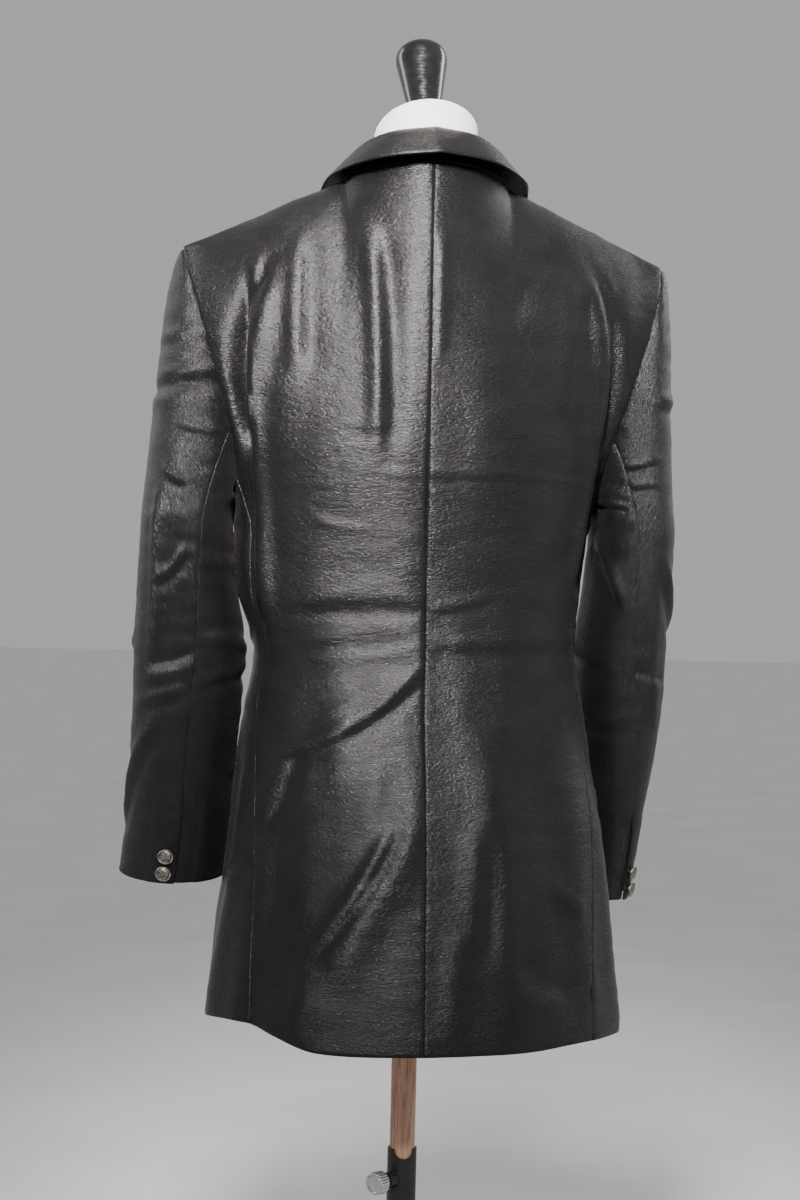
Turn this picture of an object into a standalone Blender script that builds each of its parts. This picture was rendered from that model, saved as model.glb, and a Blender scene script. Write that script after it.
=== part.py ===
"""A long blazer on a limbless dress form with a pole stand.

Metres, +Z up. The origin is the centre of the stand's underside, the garment's front faces -Y and
the wearer's left is +X. Each cloth piece is a wall on a smooth skin that runs round the body or
round a sleeve, so neighbouring pieces meet edge to edge at their seams.
"""

import math

import bmesh
import bpy
from mathutils import Matrix, Vector

# Cloth and seams
CLOTH = 0.0018
SEAM_GAP = 0.0003
EDGE_TRIM = 0.00025
LAY_GAP = 0.0009
EDGE_STEP = 0.02
NORMAL_STEP = 0.004
KEY_DIGITS = 6

# Heights that divide the body's skin
JOIN_HEIGHT = 1.165
BREAK_HEIGHT = 1.020
OVERLAP = 0.022
ROLL_SLOPE = 0.195
SIDE_FRONT_TURN = 116.0

# Shoulder, neck edge and armhole
SHOULDER_TIP = Vector((0.2225, 0.016, 1.366))
NECK_POINT = Vector((0.074, 0.014, 1.434))
NECK_BACK = Vector((0.000, 0.080, 1.443))
NECK_SHARE = 0.34
CENTRE_SHIFT = 0.009
TOP_SHIFT_SHARE = 0.4
LOWER_SHARE = 2.0 / 3.0
ARMHOLE_DROP = 0.010

# The body's rings: half widths to each side, the middle line, depths, squareness and the share of
# the half width at which the side-back seam runs
BODY = {
    "columns": ("height", "left", "right", "middle", "back", "front", "square", "seam"),
    "rows": (
        (0.640, 0.1880, 0.1970, 0.004, 0.141, 0.138, 2.10, 0.81),
        (0.735, 0.1770, 0.1870, 0.004, 0.133, 0.131, 2.12, 0.85),
        (0.800, 0.1680, 0.1800, 0.004, 0.126, 0.126, 2.18, 0.88),
        (0.883, 0.1600, 0.1670, 0.005, 0.115, 0.119, 2.30, 0.92),
        (0.945, 0.1550, 0.1580, 0.006, 0.105, 0.113, 2.40, 0.95),
        (1.000, 0.1480, 0.1480, 0.006, 0.099, 0.111, 2.50, 0.97),
        (1.055, 0.1610, 0.1510, 0.007, 0.102, 0.116, 2.50, 0.96),
        (1.120, 0.1660, 0.1590, 0.008, 0.110, 0.124, 2.45, 0.955),
        (1.165, 0.1750, 0.1680, 0.009, 0.116, 0.127, 2.40, 0.982),
    ),
}

# Height of the hem round each half, by turn from the centre back
HEM = {
    "columns": ("turn", "left", "right"),
    "rows": (
        (0.0, 0.6525, 0.6525),
        (28.0, 0.6535, 0.6540),
        (42.0, 0.6640, 0.6560),
        (55.0, 0.6720, 0.6560),
        (90.0, 0.6670, 0.6545),
        (150.0, 0.6560, 0.6540),
        (180.0, 0.6540, 0.6540),
    ),
}

# Control points of the upper back, from the centre back (0) to the armhole (1)
UPPER_BACK = {
    "columns": ("across", "low_x", "low_y", "low_z", "high_x", "high_y", "high_z"),
    "rows": (
        (0.00, 0.000, 0.124, 1.265, 0.000, 0.112, 1.378),
        (0.34, 0.074, 0.118, 1.255, 0.076, 0.086, 1.422),
        (0.68, 0.142, 0.098, 1.248, 0.151, 0.078, 1.384),
        (1.00, 0.184, 0.062, 1.235, 0.216, 0.058, 1.315),
    ),
}

# Control points of the upper front, from the armhole (0) to the roll line (1)
UPPER_FRONT = {
    "columns": ("across", "low_x", "low_y", "low_z", "high_x", "high_y", "high_z"),
    "rows": (
        (0.00, 0.180, -0.066, 1.230, 0.205, -0.050, 1.325),
        (0.35, 0.146, -0.108, 1.245, 0.168, -0.066, 1.372),
        (0.70, 0.090, -0.126, 1.250, 0.112, -0.070, 1.400),
        (1.00, 0.026, -0.128, 1.255, 0.052, -0.072, 1.392),
    ),
}

# Long folds of the body: two ends as (turn, height), half width in degrees and height of the fold.
# A fold fades over a distance past its ends, and turns are read with the depth drawn out.
FOLD_FADE = 0.045
FOLD_DEPTH_SCALE = 1.4
SMALLEST_FOLD = 0.0001
BODY_FOLDS = {
    "columns": ("side", "turn_a", "height_a", "turn_b", "height_b", "spread", "rise"),
    "rows": (
        ("left", 56.0, 1.290, 60.0, 1.070, 4.0, 0.0060),
        ("left", 62.0, 1.280, 67.0, 1.070, 3.5, -0.0060),
        ("right", 56.0, 1.290, 59.0, 1.120, 3.5, 0.0050),
        ("right", 61.5, 1.280, 65.0, 1.120, 3.5, -0.0045),
        ("left", 3.0, 0.990, 30.0, 0.950, 7.0, 0.0030),
        ("left", 6.0, 0.840, 30.0, 0.700, 7.0, 0.0050),
        ("left", 46.0, 0.860, 50.0, 0.690, 7.0, -0.0045),
        ("right", 20.0, 0.880, 24.0, 0.690, 7.0, 0.0040),
        ("right", 38.0, 0.900, 46.0, 0.700, 7.0, -0.0040),
        ("right", 70.0, 0.840, 76.0, 0.680, 8.0, 0.0050),
        ("left", 72.0, 0.840, 78.0, 0.690, 8.0, 0.0045),
        ("left", 128.0, 0.900, 140.0, 0.690, 9.0, 0.0040),
        ("right", 128.0, 0.900, 138.0, 0.690, 9.0, 0.0040),
    ),
}

# Sleeve rings: centre, half width across and half depth, turn of the ring and slant of its plane
SLEEVE_COLUMNS = ("height", "x", "y", "wide", "deep", "turn", "slant")
SLEEVES = {
    "left": {
        "columns": SLEEVE_COLUMNS,
        "rows": (
            (1.120, 0.2135, 0.004, 0.0405, 0.063, 0.0, 0.00),
            (1.060, 0.2118, 0.000, 0.0440, 0.058, 0.0, 0.02),
            (1.010, 0.2085, -0.005, 0.0495, 0.054, 0.0, 0.05),
            (0.950, 0.2090, -0.014, 0.0485, 0.050, 0.0, 0.10),
            (0.895, 0.2112, -0.026, 0.0475, 0.046, 0.0, 0.15),
            (0.840, 0.2125, -0.038, 0.0480, 0.043, 0.0, 0.19),
            (0.793, 0.2165, -0.050, 0.0490, 0.041, 0.0, 0.21),
        ),
    },
    "right": {
        "columns": SLEEVE_COLUMNS,
        "rows": (
            (1.120, 0.2040, 0.004, 0.0370, 0.063, 0.0, 0.00),
            (1.060, 0.2020, -0.006, 0.0385, 0.059, 2.0, 0.05),
            (1.010, 0.2000, -0.020, 0.0410, 0.055, 5.0, 0.10),
            (0.950, 0.2020, -0.037, 0.0400, 0.051, 10.0, 0.16),
            (0.895, 0.2000, -0.056, 0.0365, 0.050, 18.0, 0.19),
            (0.840, 0.1960, -0.077, 0.0305, 0.051, 26.0, 0.21),
            (0.775, 0.1880, -0.098, 0.0260, 0.053, 32.0, 0.21),
        ),
    },
}
SLEEVE_SPLIT = 0.42
BACK_SEAM_TURNS = {
    "columns": ("along", "turn"),
    "rows": ((0.0, 62.0), (0.42, 76.0), (0.62, 86.0), (0.75, 90.0), (1.0, 91.0)),
}
FRONT_SEAM_TURN = 303.0
LOW_ARC_TURN = 38.0

# Collar: its neck edge, roll line and fall edge, from the centre back (0) to the front end (1)
COLLAR = {
    "columns": ("along", "neck_x", "neck_y", "neck_z", "roll_x", "roll_y", "roll_z",
                "fall_x", "fall_y", "fall_z"),
    "rows": (
        (0.00, 0.000, 0.0795, 1.4438, 0.000, 0.066, 1.4755, 0.000, 0.0980, 1.4480),
        (0.28, 0.037, 0.0702, 1.4417, 0.036, 0.054, 1.4725, 0.052, 0.0840, 1.4430),
        (0.52, 0.0635, 0.0462, 1.4374, 0.058, 0.032, 1.4655, 0.083, 0.0460, 1.4370),
        (0.74, 0.0732, 0.0143, 1.4353, 0.0645, 0.006, 1.4565, 0.0950, 0.0080, 1.4295),
        (1.00, 0.0690, -0.0320, 1.4230, 0.0640, -0.034, 1.4340, 0.1000, -0.0560, 1.3960),
    ),
}

# Clearance of the sleeve from the armhole, and the swell of its head
TIP_CLEAR = 0.0010
UNDERARM_CLEAR = 0.0046
CAP_REACH = 0.0155
CAP_SWELL = 0.012
CAP_PULL = 0.010
CAP_DROP = 0.33
CAP_DROP_OUTSIDE = 0.95
CAP_RISE_OUTSIDE = 0.08

# Lapels: width as a share of the front and height of their ends
LAPEL = {
    "columns": ("place", "width", "top"),
    "rows": (
        (0.00, 0.02, 0.955),
        (0.35, 0.24, 0.935),
        (0.70, 0.42, 0.910),
        (1.00, 0.54, 0.880),
    ),
}
LAPEL_STARTS = {"left": 0.640, "right": 0.480}
LAPEL_LIFT = 0.004

# Lap of the right front over the left
LAP_FROM = 0.45
LAP_LIFT = 0.0026
LAP_TOP = 1.175
LAP_FADE = 0.03
FRONT_BUTTON_SHARE = 0.905

# Sign that turns across x along outwards on each side of the body
FACES = {"left": -1.0, "right": 1.0}

# Sizes of the buttons
CUFF_BUTTON_RADIUS = 0.0074
CUFF_BUTTON_HEIGHTS = (0.8190, 0.8030)
CUFF_BUTTON_TURN = 103.0
FRONT_BUTTON_RADIUS = 0.0115
FRONT_BUTTON_HEIGHTS = (1.010, 0.905)
BUTTON_THICK = 0.0040
CUFF_BUTTON_SIDES = 14
FRONT_BUTTON_SIDES = 18

# Dress form: rings from its flat underside to the top of its neck
FORM = {
    "columns": ("height", "half", "back", "front", "square", "y"),
    "rows": (
        (0.720, 0.1520, 0.1060, 0.1060, 2.1, 0.000),
        (0.800, 0.1520, 0.1080, 0.1080, 2.1, 0.000),
        (0.880, 0.1440, 0.0990, 0.1030, 2.2, 0.000),
        (0.945, 0.1370, 0.0890, 0.0980, 2.3, 0.000),
        (1.000, 0.1310, 0.0830, 0.0950, 2.4, 0.000),
        (1.060, 0.1350, 0.0870, 0.1010, 2.4, 0.000),
        (1.120, 0.1430, 0.0960, 0.1090, 2.3, 0.000),
        (1.180, 0.1520, 0.1020, 0.1110, 2.3, 0.000),
        (1.250, 0.1600, 0.0990, 0.1000, 2.2, 0.002),
        (1.310, 0.1660, 0.0860, 0.0780, 2.1, 0.006),
        (1.350, 0.1700, 0.0680, 0.0540, 2.0, 0.010),
        (1.376, 0.1690, 0.0440, 0.0300, 2.0, 0.015),
        (1.388, 0.1640, 0.0320, 0.0200, 2.0, 0.0155),
        (1.406, 0.1260, 0.0300, 0.0180, 2.0, 0.0150),
        (1.423, 0.0835, 0.0330, 0.0120, 2.0, 0.0145),
        (1.436, 0.0550, 0.0430, 0.0340, 2.0, 0.005),
        (1.450, 0.0500, 0.0480, 0.0470, 2.0, 0.001),
        (1.470, 0.0485, 0.0485, 0.0485, 2.0, 0.000),
        (1.530, 0.0480, 0.0480, 0.0480, 2.0, 0.000),
    ),
}
FORM_SEGMENTS = 30
NECK_TOP_HEIGHT = 1.482
NECK_TOP_SLANT = math.radians(27.0)
PLATE_THICK = 0.003
PLATE_RADIUS = 0.0485
PLATE_ROUND = 0.0012
PLATE_SIDES = 28

# Knob profile: radius and height above its foot
KNOB_PROFILE = (
    (0.0000, 0.0000), (0.0180, 0.0000), (0.0188, 0.0030), (0.0160, 0.0080), (0.0148, 0.0160),
    (0.0157, 0.0280), (0.0180, 0.0420), (0.0204, 0.0560), (0.0225, 0.0680), (0.0240, 0.0765),
    (0.0244, 0.0815), (0.0235, 0.0865), (0.0203, 0.0905), (0.0145, 0.0929), (0.0000, 0.0935),
)
KNOB_STRETCH = 1.06
KNOB_SIDES = 24

# Stand
POLE_RADIUS = 0.0118
POLE_BOTTOM = 0.220
POLE_SOCKET = 0.060
POLE_SIDES = 32
POLE_EDGE = 0.001
SLIDE_GAP = 0.0004
CUTTER_EXTRA = 0.010
TUBE_INNER = 0.0122
TUBE_OUTER = 0.0136
TUBE_TOP = 0.541
TUBE_FLOOR = 0.004
TUBE_SIDES = 36
BASE_RADIUS = 0.190
BASE_THICK = 0.012
BASE_ROUND = 0.005
BASE_SIDES = 56
NOTCH_RADIUS = 0.0085
SCREW_HEIGHT = 0.513
SCREW_TURN = math.radians(40.0)
BOSS_RADIUS = 0.0075
BOSS_LENGTH = 0.0215
SCREW_RADIUS = 0.0035
SCREW_KNOB_RADIUS = 0.0105
SCREW_KNOB_START = 0.0265
SCREW_KNOB_LENGTH = 0.0120
SCREW_FLUTE = 0.93
SCREW_SIDES = 48

# Colours as linear values, with roughness and metallic
FINISHES = {
    "cloth": ((0.0125, 0.0115, 0.0120), 0.45, 0.0),
    "jersey": ((0.72, 0.71, 0.68), 0.85, 0.0),
    "lacquer": ((0.006, 0.006, 0.006), 0.18, 0.0),
    "wood": ((0.42, 0.27, 0.17), 0.35, 0.0),
    "black metal": ((0.012, 0.012, 0.013), 0.40, 0.0),
    "chrome": ((0.62, 0.62, 0.62), 0.15, 1.0),
    "pewter": ((0.30, 0.29, 0.27), 0.40, 1.0),
}


def clear_objects():
    """Remove whatever the scene holds."""
    for thing in list(bpy.data.objects):
        bpy.data.objects.remove(thing, do_unlink=True)


def make_collection(name):
    """A collection linked to the scene."""
    group = bpy.data.collections.new(name)
    bpy.context.scene.collection.children.link(group)
    return group


def finish(thing, name):
    """Give an object its own material in the named finish."""
    colour, roughness, metallic = FINISHES[name]
    material = bpy.data.materials.new(f"{thing.name} {name}")
    material.use_nodes = True
    shader = material.node_tree.nodes["Principled BSDF"]
    shader.inputs["Base Color"].default_value = (*colour, 1.0)
    shader.inputs["Roughness"].default_value = roughness
    shader.inputs["Metallic"].default_value = metallic
    thing.data.materials.clear()
    thing.data.materials.append(material)


def read(table, name, at):
    """Value of a table's column at a place along its first column, on a smooth curve."""
    rows = table["rows"]
    column = table["columns"].index(name)
    places = [row[0] for row in rows]
    values = [row[column] for row in rows]
    if places[0] > places[-1]:
        places.reverse()
        values.reverse()
    last = len(places) - 1
    at = min(max(at, places[0]), places[-1])
    cell = 0
    while cell < last - 1 and at > places[cell + 1]:
        cell += 1
    slopes = []
    for index in (cell, cell + 1):
        before = max(index - 1, 0)
        after = min(index + 1, last)
        slopes.append((values[after] - values[before]) / (places[after] - places[before]))
    span = places[cell + 1] - places[cell]
    part = (at - places[cell]) / span
    rise = values[cell + 1] - values[cell]
    bend_in = slopes[0] * span - rise
    bend_out = rise - slopes[1] * span
    blend = part * (1.0 - part) * ((1.0 - part) * bend_in + part * bend_out)
    return values[cell] + rise * part + blend


def bezier(start, low, high, end, along):
    """Point on a cubic curve."""
    back = 1.0 - along
    return (start * back ** 3 + low * (3 * back ** 2 * along)
            + high * (3 * back * along ** 2) + end * along ** 3)


def signed_power(value, power):
    """Power of a number that keeps its sign."""
    return math.copysign(abs(value) ** power, value)


def mirror_x(side, point, shift=0.0):
    """The point as it lies on the named side, moved towards the wearer's left by a shift."""
    sign = 1.0 if side == "left" else -1.0
    return Vector((sign * point.x + shift, point.y, point.z))


def ring_point(side, turn, height):
    """Point of the body's ring at a turn from the centre back (0) to the centre front (180)."""
    half = read(BODY, side, height)
    middle = read(BODY, "middle", height)
    power = 2.0 / read(BODY, "square", height)
    reach = half - middle if side == "left" else -(half + middle)
    lean = math.cos(math.radians(turn))
    depth = read(BODY, "back" if lean >= 0 else "front", height)
    across = signed_power(math.sin(math.radians(turn)), power)
    return Vector((middle + reach * across, depth * signed_power(lean, power), height))


def side_back_turn(height):
    """Turn at which the side-back seam runs."""
    share = read(BODY, "seam", min(height, JOIN_HEIGHT))
    square = read(BODY, "square", min(height, JOIN_HEIGHT))
    return math.degrees(math.asin(share ** (square / 2.0)))


def front_edge_turn(side, height, laps):
    """Turn of the front's free edge, or of its roll line above the break."""
    edge = -laps if height <= BREAK_HEIGHT else -laps + (height - BREAK_HEIGHT) * ROLL_SLOPE
    middle = read(BODY, "middle", height)
    half = read(BODY, side, height)
    reach = half - middle if side == "left" else half + middle
    share = edge / reach
    square = read(BODY, "square", height)
    return 180.0 - math.degrees(math.asin(signed_power(share, square / 2.0)))


def fold_rise(side, turn, height):
    """How far the folds move the body's skin out at a place."""
    total = 0.0
    for row in BODY_FOLDS["rows"]:
        fold_side, turn_a, height_a, turn_b, height_b, spread, rise = row
        if fold_side != side:
            continue
        length = height_a - height_b
        part = (height_a - height) / length
        near = min(max(part, 0.0), 1.0)
        away = abs(part - near) * abs(length) / FOLD_FADE
        centre = turn_a + (turn_b - turn_a) * near
        total += rise * math.exp(-((turn - centre) / spread) ** 2 - away ** 2)
    return total


def back_top(across):
    """Top edge of the back: the neck edge, then the shoulder seam."""
    if across >= NECK_SHARE:
        return NECK_POINT.lerp(SHOULDER_TIP, (across - NECK_SHARE) / (1.0 - NECK_SHARE))
    turn = math.pi / 2 * across / NECK_SHARE
    reach = math.sin(turn)
    return Vector((
        NECK_BACK.x + (NECK_POINT.x - NECK_BACK.x) * reach,
        NECK_POINT.y + (NECK_BACK.y - NECK_POINT.y) * math.cos(turn),
        NECK_BACK.z + (NECK_POINT.z - NECK_BACK.z) * reach ** 2,
    ))


def controls(table, across):
    """The two inner control points of an upper column."""
    low = Vector([read(table, name, across) for name in ("low_x", "low_y", "low_z")])
    high = Vector([read(table, name, across) for name in ("high_x", "high_y", "high_z")])
    return low, high


def lower_height(side, turn, part):
    """Height between the hem and the underarm level."""
    hem = read(HEM, side, turn)
    return hem + (JOIN_HEIGHT - hem) * part


def armhole_low_height(turn):
    """Height of the armhole's low arc above or below the underarm level."""
    back = side_back_turn(JOIN_HEIGHT)
    part = (turn - back) / (SIDE_FRONT_TURN - back)
    return JOIN_HEIGHT - ARMHOLE_DROP * math.sin(math.pi * min(max(part, 0.0), 1.0))


def back_point(side, across, along):
    """Back skin: across from the centre back (0) to the side-back seam and armhole (1)."""
    if along <= LOWER_SHARE:
        hem_turn = across * side_back_turn(BODY["rows"][0][0])
        height = lower_height(side, hem_turn, along / LOWER_SHARE)
        return ring_point(side, across * side_back_turn(height), height)
    start = ring_point(side, across * side_back_turn(JOIN_HEIGHT), JOIN_HEIGHT)
    low, high = controls(UPPER_BACK, across)
    shift = CENTRE_SHIFT * (1.0 - across)
    return bezier(start, mirror_x(side, low, shift), mirror_x(side, high, shift),
                  mirror_x(side, back_top(across), shift * TOP_SHIFT_SHARE),
                  (along - LOWER_SHARE) / (1.0 - LOWER_SHARE))


def side_point(side, across, along):
    """Side panel skin: across from the side-back seam (0) to the side-front seam (1)."""
    hem_turn = side_back_turn(BODY["rows"][0][0])
    hem_turn += across * (SIDE_FRONT_TURN - hem_turn)
    hem = read(HEM, side, hem_turn)
    top_turn = side_back_turn(JOIN_HEIGHT)
    top = armhole_low_height(top_turn + across * (SIDE_FRONT_TURN - top_turn))
    height = hem + (top - hem) * along
    back = side_back_turn(height)
    return ring_point(side, back + across * (SIDE_FRONT_TURN - back), height)


def front_point(side, across, along):
    """Front skin: across from the side-front seam and armhole (0) to the free edge (1)."""
    if along <= LOWER_SHARE:
        height = lower_height(side, SIDE_FRONT_TURN + across * (180.0 - SIDE_FRONT_TURN),
                              along / LOWER_SHARE)
        edge = front_edge_turn(side, height, OVERLAP)
        return ring_point(side, SIDE_FRONT_TURN + across * (edge - SIDE_FRONT_TURN), height)
    edge = front_edge_turn(side, JOIN_HEIGHT, OVERLAP)
    start = ring_point(side, SIDE_FRONT_TURN + across * (edge - SIDE_FRONT_TURN), JOIN_HEIGHT)
    low, high = controls(UPPER_FRONT, across)
    end = SHOULDER_TIP.lerp(NECK_POINT, across)
    shift = CENTRE_SHIFT * across
    return bezier(start, mirror_x(side, low, shift), mirror_x(side, high, shift),
                  mirror_x(side, end), (along - LOWER_SHARE) / (1.0 - LOWER_SHARE))


def normal_of(skin, across, along):
    """Unit normal of a skin, in the direction of across x along."""
    step = NORMAL_STEP
    left, right = skin(max(across - step, 0.0), along), skin(min(across + step, 1.0), along)
    low, high = skin(across, max(along - step, 0.0)), skin(across, min(along + step, 1.0))
    return (right - left).cross(high - low).normalized()


def with_folds(side, skin, face):
    """The body's skin with its folds raised along its normal."""
    def folded(across, along):
        place = skin(side, across, along)
        turn = math.degrees(math.atan2(abs(place.x), place.y * FOLD_DEPTH_SCALE))
        rise = fold_rise(side, turn, place.z)
        if abs(rise) < SMALLEST_FOLD:
            return place
        out = normal_of(lambda a, b: skin(side, a, b), across, along) * face
        return place + out * rise
    return folded


def wall(name, skin, cells, face, trim=(1, 1, 1, 1)):
    """A cloth wall on a skin: a grid laid on it, moved out along its normals.

    face is 1 where across x along points out and -1 where it points in. trim says which of the
    four edges (across 0, across 1, along 0, along 1) stand back from a seam.
    """
    wide, tall = cells
    mesh = bmesh.new()
    bmesh.ops.create_grid(mesh, x_segments=wide, y_segments=tall, size=0.5)
    outwards = {}
    for vert in mesh.verts:
        across = round((vert.co.x + 0.5) * wide) / wide
        along = round((vert.co.y + 0.5) * tall) / tall
        place = skin(across, along)
        edges = ((across == 0.0, EDGE_STEP, along), (across == 1.0, 1.0 - EDGE_STEP, along),
                 (along == 0.0, across, EDGE_STEP), (along == 1.0, across, 1.0 - EDGE_STEP))
        inset = Vector((0.0, 0.0, 0.0))
        for trimmed, (on_edge, inner_across, inner_along) in zip(trim, edges):
            if trimmed and on_edge:
                inset += (skin(inner_across, inner_along) - place).normalized() * EDGE_TRIM
        vert.co = place + inset
        outwards[vert.co.to_tuple(KEY_DIGITS)] = normal_of(skin, across, along) * face
    made = bmesh.ops.extrude_face_region(mesh, geom=list(mesh.faces))
    for item in made["geom"]:
        if isinstance(item, bmesh.types.BMVert):
            item.co += outwards[item.co.to_tuple(KEY_DIGITS)] * CLOTH
    bmesh.ops.recalc_face_normals(mesh, faces=list(mesh.faces))
    return put(name, mesh, "cloth")


def put(name, mesh, material):
    """Make an object of a bmesh, in the part's collection, with its own material."""
    data = bpy.data.meshes.new(name)
    mesh.to_mesh(data)
    mesh.free()
    thing = bpy.data.objects.new(name, data)
    PART.objects.link(thing)
    finish(thing, material)
    return thing


def sleeve_ring(side, turn, height):
    """Point of a sleeve's ring: turn 0 faces the body, 90 the back, 180 out and 270 the front."""
    table = SLEEVES[side]
    wide, deep = read(table, "wide", height), read(table, "deep", height)
    angle = math.radians(turn)
    inward = -wide * math.cos(angle)
    back = deep * math.sin(angle)
    swing = math.radians(read(table, "turn", height))
    x = read(table, "x", height) + inward * math.cos(swing) + back * math.sin(swing)
    y = read(table, "y", height) - inward * math.sin(swing) + back * math.cos(swing)
    slant = read(table, "slant", height) * (y - read(table, "y", height))
    return mirror_x(side, Vector((x, y, height - slant)))


def armhole_point(side, turn):
    """Point of the armhole for a sleeve turn, held clear of the body's wall."""
    turn = (turn + 180.0) % 360.0 - 180.0
    if abs(turn) <= LOW_ARC_TURN:
        across = (LOW_ARC_TURN - turn) / (2 * LOW_ARC_TURN)
        place = side_point(side, across, 1.0)
    else:
        part = (abs(turn) - LOW_ARC_TURN) / (180.0 - LOW_ARC_TURN)
        along = LOWER_SHARE + (1.0 - LOWER_SHARE) * part
        skin, across = (back_point, 1.0) if turn > 0 else (front_point, 0.0)
        place = skin(side, across, along)
    sign = 1.0 if side == "left" else -1.0
    low = 0.5 + 0.5 * math.cos(math.radians(turn))
    clear = TIP_CLEAR + (UNDERARM_CLEAR - TIP_CLEAR) * low
    return place + Vector((sign * clear, 0.0, 0.0))


def sleeve_point(side, turn, along):
    """Sleeve skin from the armhole (0) to the cuff (1)."""
    rows = SLEEVES[side]["rows"]
    top, bottom = rows[0][0], rows[-1][0]
    if along > SLEEVE_SPLIT:
        part = (along - SLEEVE_SPLIT) / (1.0 - SLEEVE_SPLIT)
        return sleeve_ring(side, turn, top + (bottom - top) * part)
    start = armhole_point(side, turn)
    end = sleeve_ring(side, turn, top)
    outward = 0.5 - 0.5 * math.cos(math.radians(turn))
    facing = math.sin(math.radians(turn))
    sign = 1.0 if side == "left" else -1.0
    drop = start.z - end.z
    low = start + Vector((sign * CAP_REACH * outward, CAP_SWELL * facing,
                          -drop * CAP_DROP * (1.0 - outward * CAP_DROP_OUTSIDE)))
    high = end + Vector((-sign * CAP_PULL * outward, 0.0,
                         drop * (CAP_DROP + CAP_RISE_OUTSIDE * outward)))
    return bezier(start, low, high, end, along / SLEEVE_SPLIT)


def sleeve_skin(side, is_top):
    """Skin of the top or under sleeve, across between its two seams."""
    def skin(across, along):
        back = read(BACK_SEAM_TURNS, "turn", along)
        start, end = (back, FRONT_SEAM_TURN) if is_top else (FRONT_SEAM_TURN - 360.0, back)
        return sleeve_point(side, start + across * (end - start), along)
    return skin


def collar_skin(across, along):
    """Collar skin: across from the left front end (0) to the right (1), along from the neck edge."""
    place = abs(across * 2.0 - 1.0)
    sign = 1.0 if across < 0.5 else -1.0
    points = []
    for edge in ("neck", "roll", "fall"):
        x, y, z = (read(COLLAR, f"{edge}_{axis}", place) for axis in "xyz")
        points.append(Vector((NECK_BACK.x * (1.0 - place) + sign * x, y, z)))
    neck, roll, fall = points
    pull = roll * 2.0 - (neck + fall) * 0.5
    return neck * (1 - along) ** 2 + pull * (2 * along * (1 - along)) + fall * along ** 2


def lapel_skin(side):
    """Lapel skin on its front: across from the roll line (0) to its edge (1), along upwards."""
    front = front_layer(side)

    def skin(across, along):
        width = read(LAPEL, "width", along)
        start = LAPEL_STARTS[side]
        high = start + (read(LAPEL, "top", across) - start) * along
        return front(1.0 - width * across, high)
    return skin


def lapel_wall(side):
    """A lapel laid on its front, made from the front's points moved out."""
    skin = lapel_skin(side)
    face = -FACES[side]

    def lifted(across, along):
        out = normal_of(skin, across, along) * face
        rise = CLOTH + LAY_GAP + LAPEL_LIFT * math.sin(math.pi * along) * across
        return skin(across, along) + out * rise
    return wall(f"lapel_{side}", lifted, (5, 14), face, trim=(0, 0, 0, 0))


def turned(name, profile, sides, material):
    """A turned piece: its profile given a full Screw about Z."""
    curve = bmesh.new()
    verts = [curve.verts.new((radius, 0.0, height)) for radius, height in reversed(profile)]
    for first, second in zip(verts, verts[1:]):
        curve.edges.new((first, second))
    thing = put(name, curve, material)
    screw = thing.modifiers.new("Turned", "SCREW")
    screw.steps = sides
    screw.render_steps = sides
    screw.use_merge_vertices = True
    screw.merge_threshold = 0.00001
    return thing


def rounded_disc(radius, thick, round_by, steps=3):
    """Profile of a disc with a rounded upper edge."""
    points = [(0.0, 0.0), (radius, 0.0)]
    for step in range(steps + 1):
        angle = math.pi / 2 * step / steps
        points.append((radius - round_by + round_by * math.cos(angle),
                       thick - round_by + round_by * math.sin(angle)))
    points.append((0.0, thick))
    return points


def seat(thing, place, out):
    """Turn a piece's +Z to a direction and move it to its place."""
    thing.rotation_mode = "QUATERNION"
    thing.rotation_quaternion = out.to_track_quat("Z", "Y")
    thing.location = place


def make_body():
    """The back, side panels and fronts."""
    for side in ("left", "right"):
        face = FACES[side]
        wall(f"back_{side}", with_folds(side, back_point, face), (11, 24), face)
        wall(f"side_{side}", with_folds(side, side_point, face), (6, 16), face, trim=(1, 1, 0, 1))
        wall(f"front_{side}", front_layer(side), (9, 24), face, trim=(1, 0, 0, 1))


def front_layer(side):
    """A front's skin: the right one laps over the left one."""
    folded = with_folds(side, front_point, FACES[side])

    def skin(across, along):
        place = folded(across, along)
        reach = min(max((across - LAP_FROM) / (1.0 - LAP_FROM), 0.0), 1.0)
        lift = LAP_LIFT * reach * reach * (3.0 - 2.0 * reach) if side == "right" else 0.0
        fade = min(max((LAP_TOP - place.z) / LAP_FADE, 0.0), 1.0)
        out = Vector((0.0, -1.0, 0.0))
        return place + out * lift * fade
    return skin


def make_sleeves():
    """Top and under sleeves."""
    for side in ("left", "right"):
        face = -FACES[side]
        wall(f"sleeve_top_{side}", sleeve_skin(side, True), (12, 20), face, trim=(1, 1, 0, 0))
        wall(f"sleeve_under_{side}", sleeve_skin(side, False), (7, 20), face, trim=(1, 1, 0, 0))


def make_collar():
    """The folded collar."""
    wall("collar", collar_skin, (24, 8), -1.0, trim=(0, 0, 0, 0))


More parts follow.
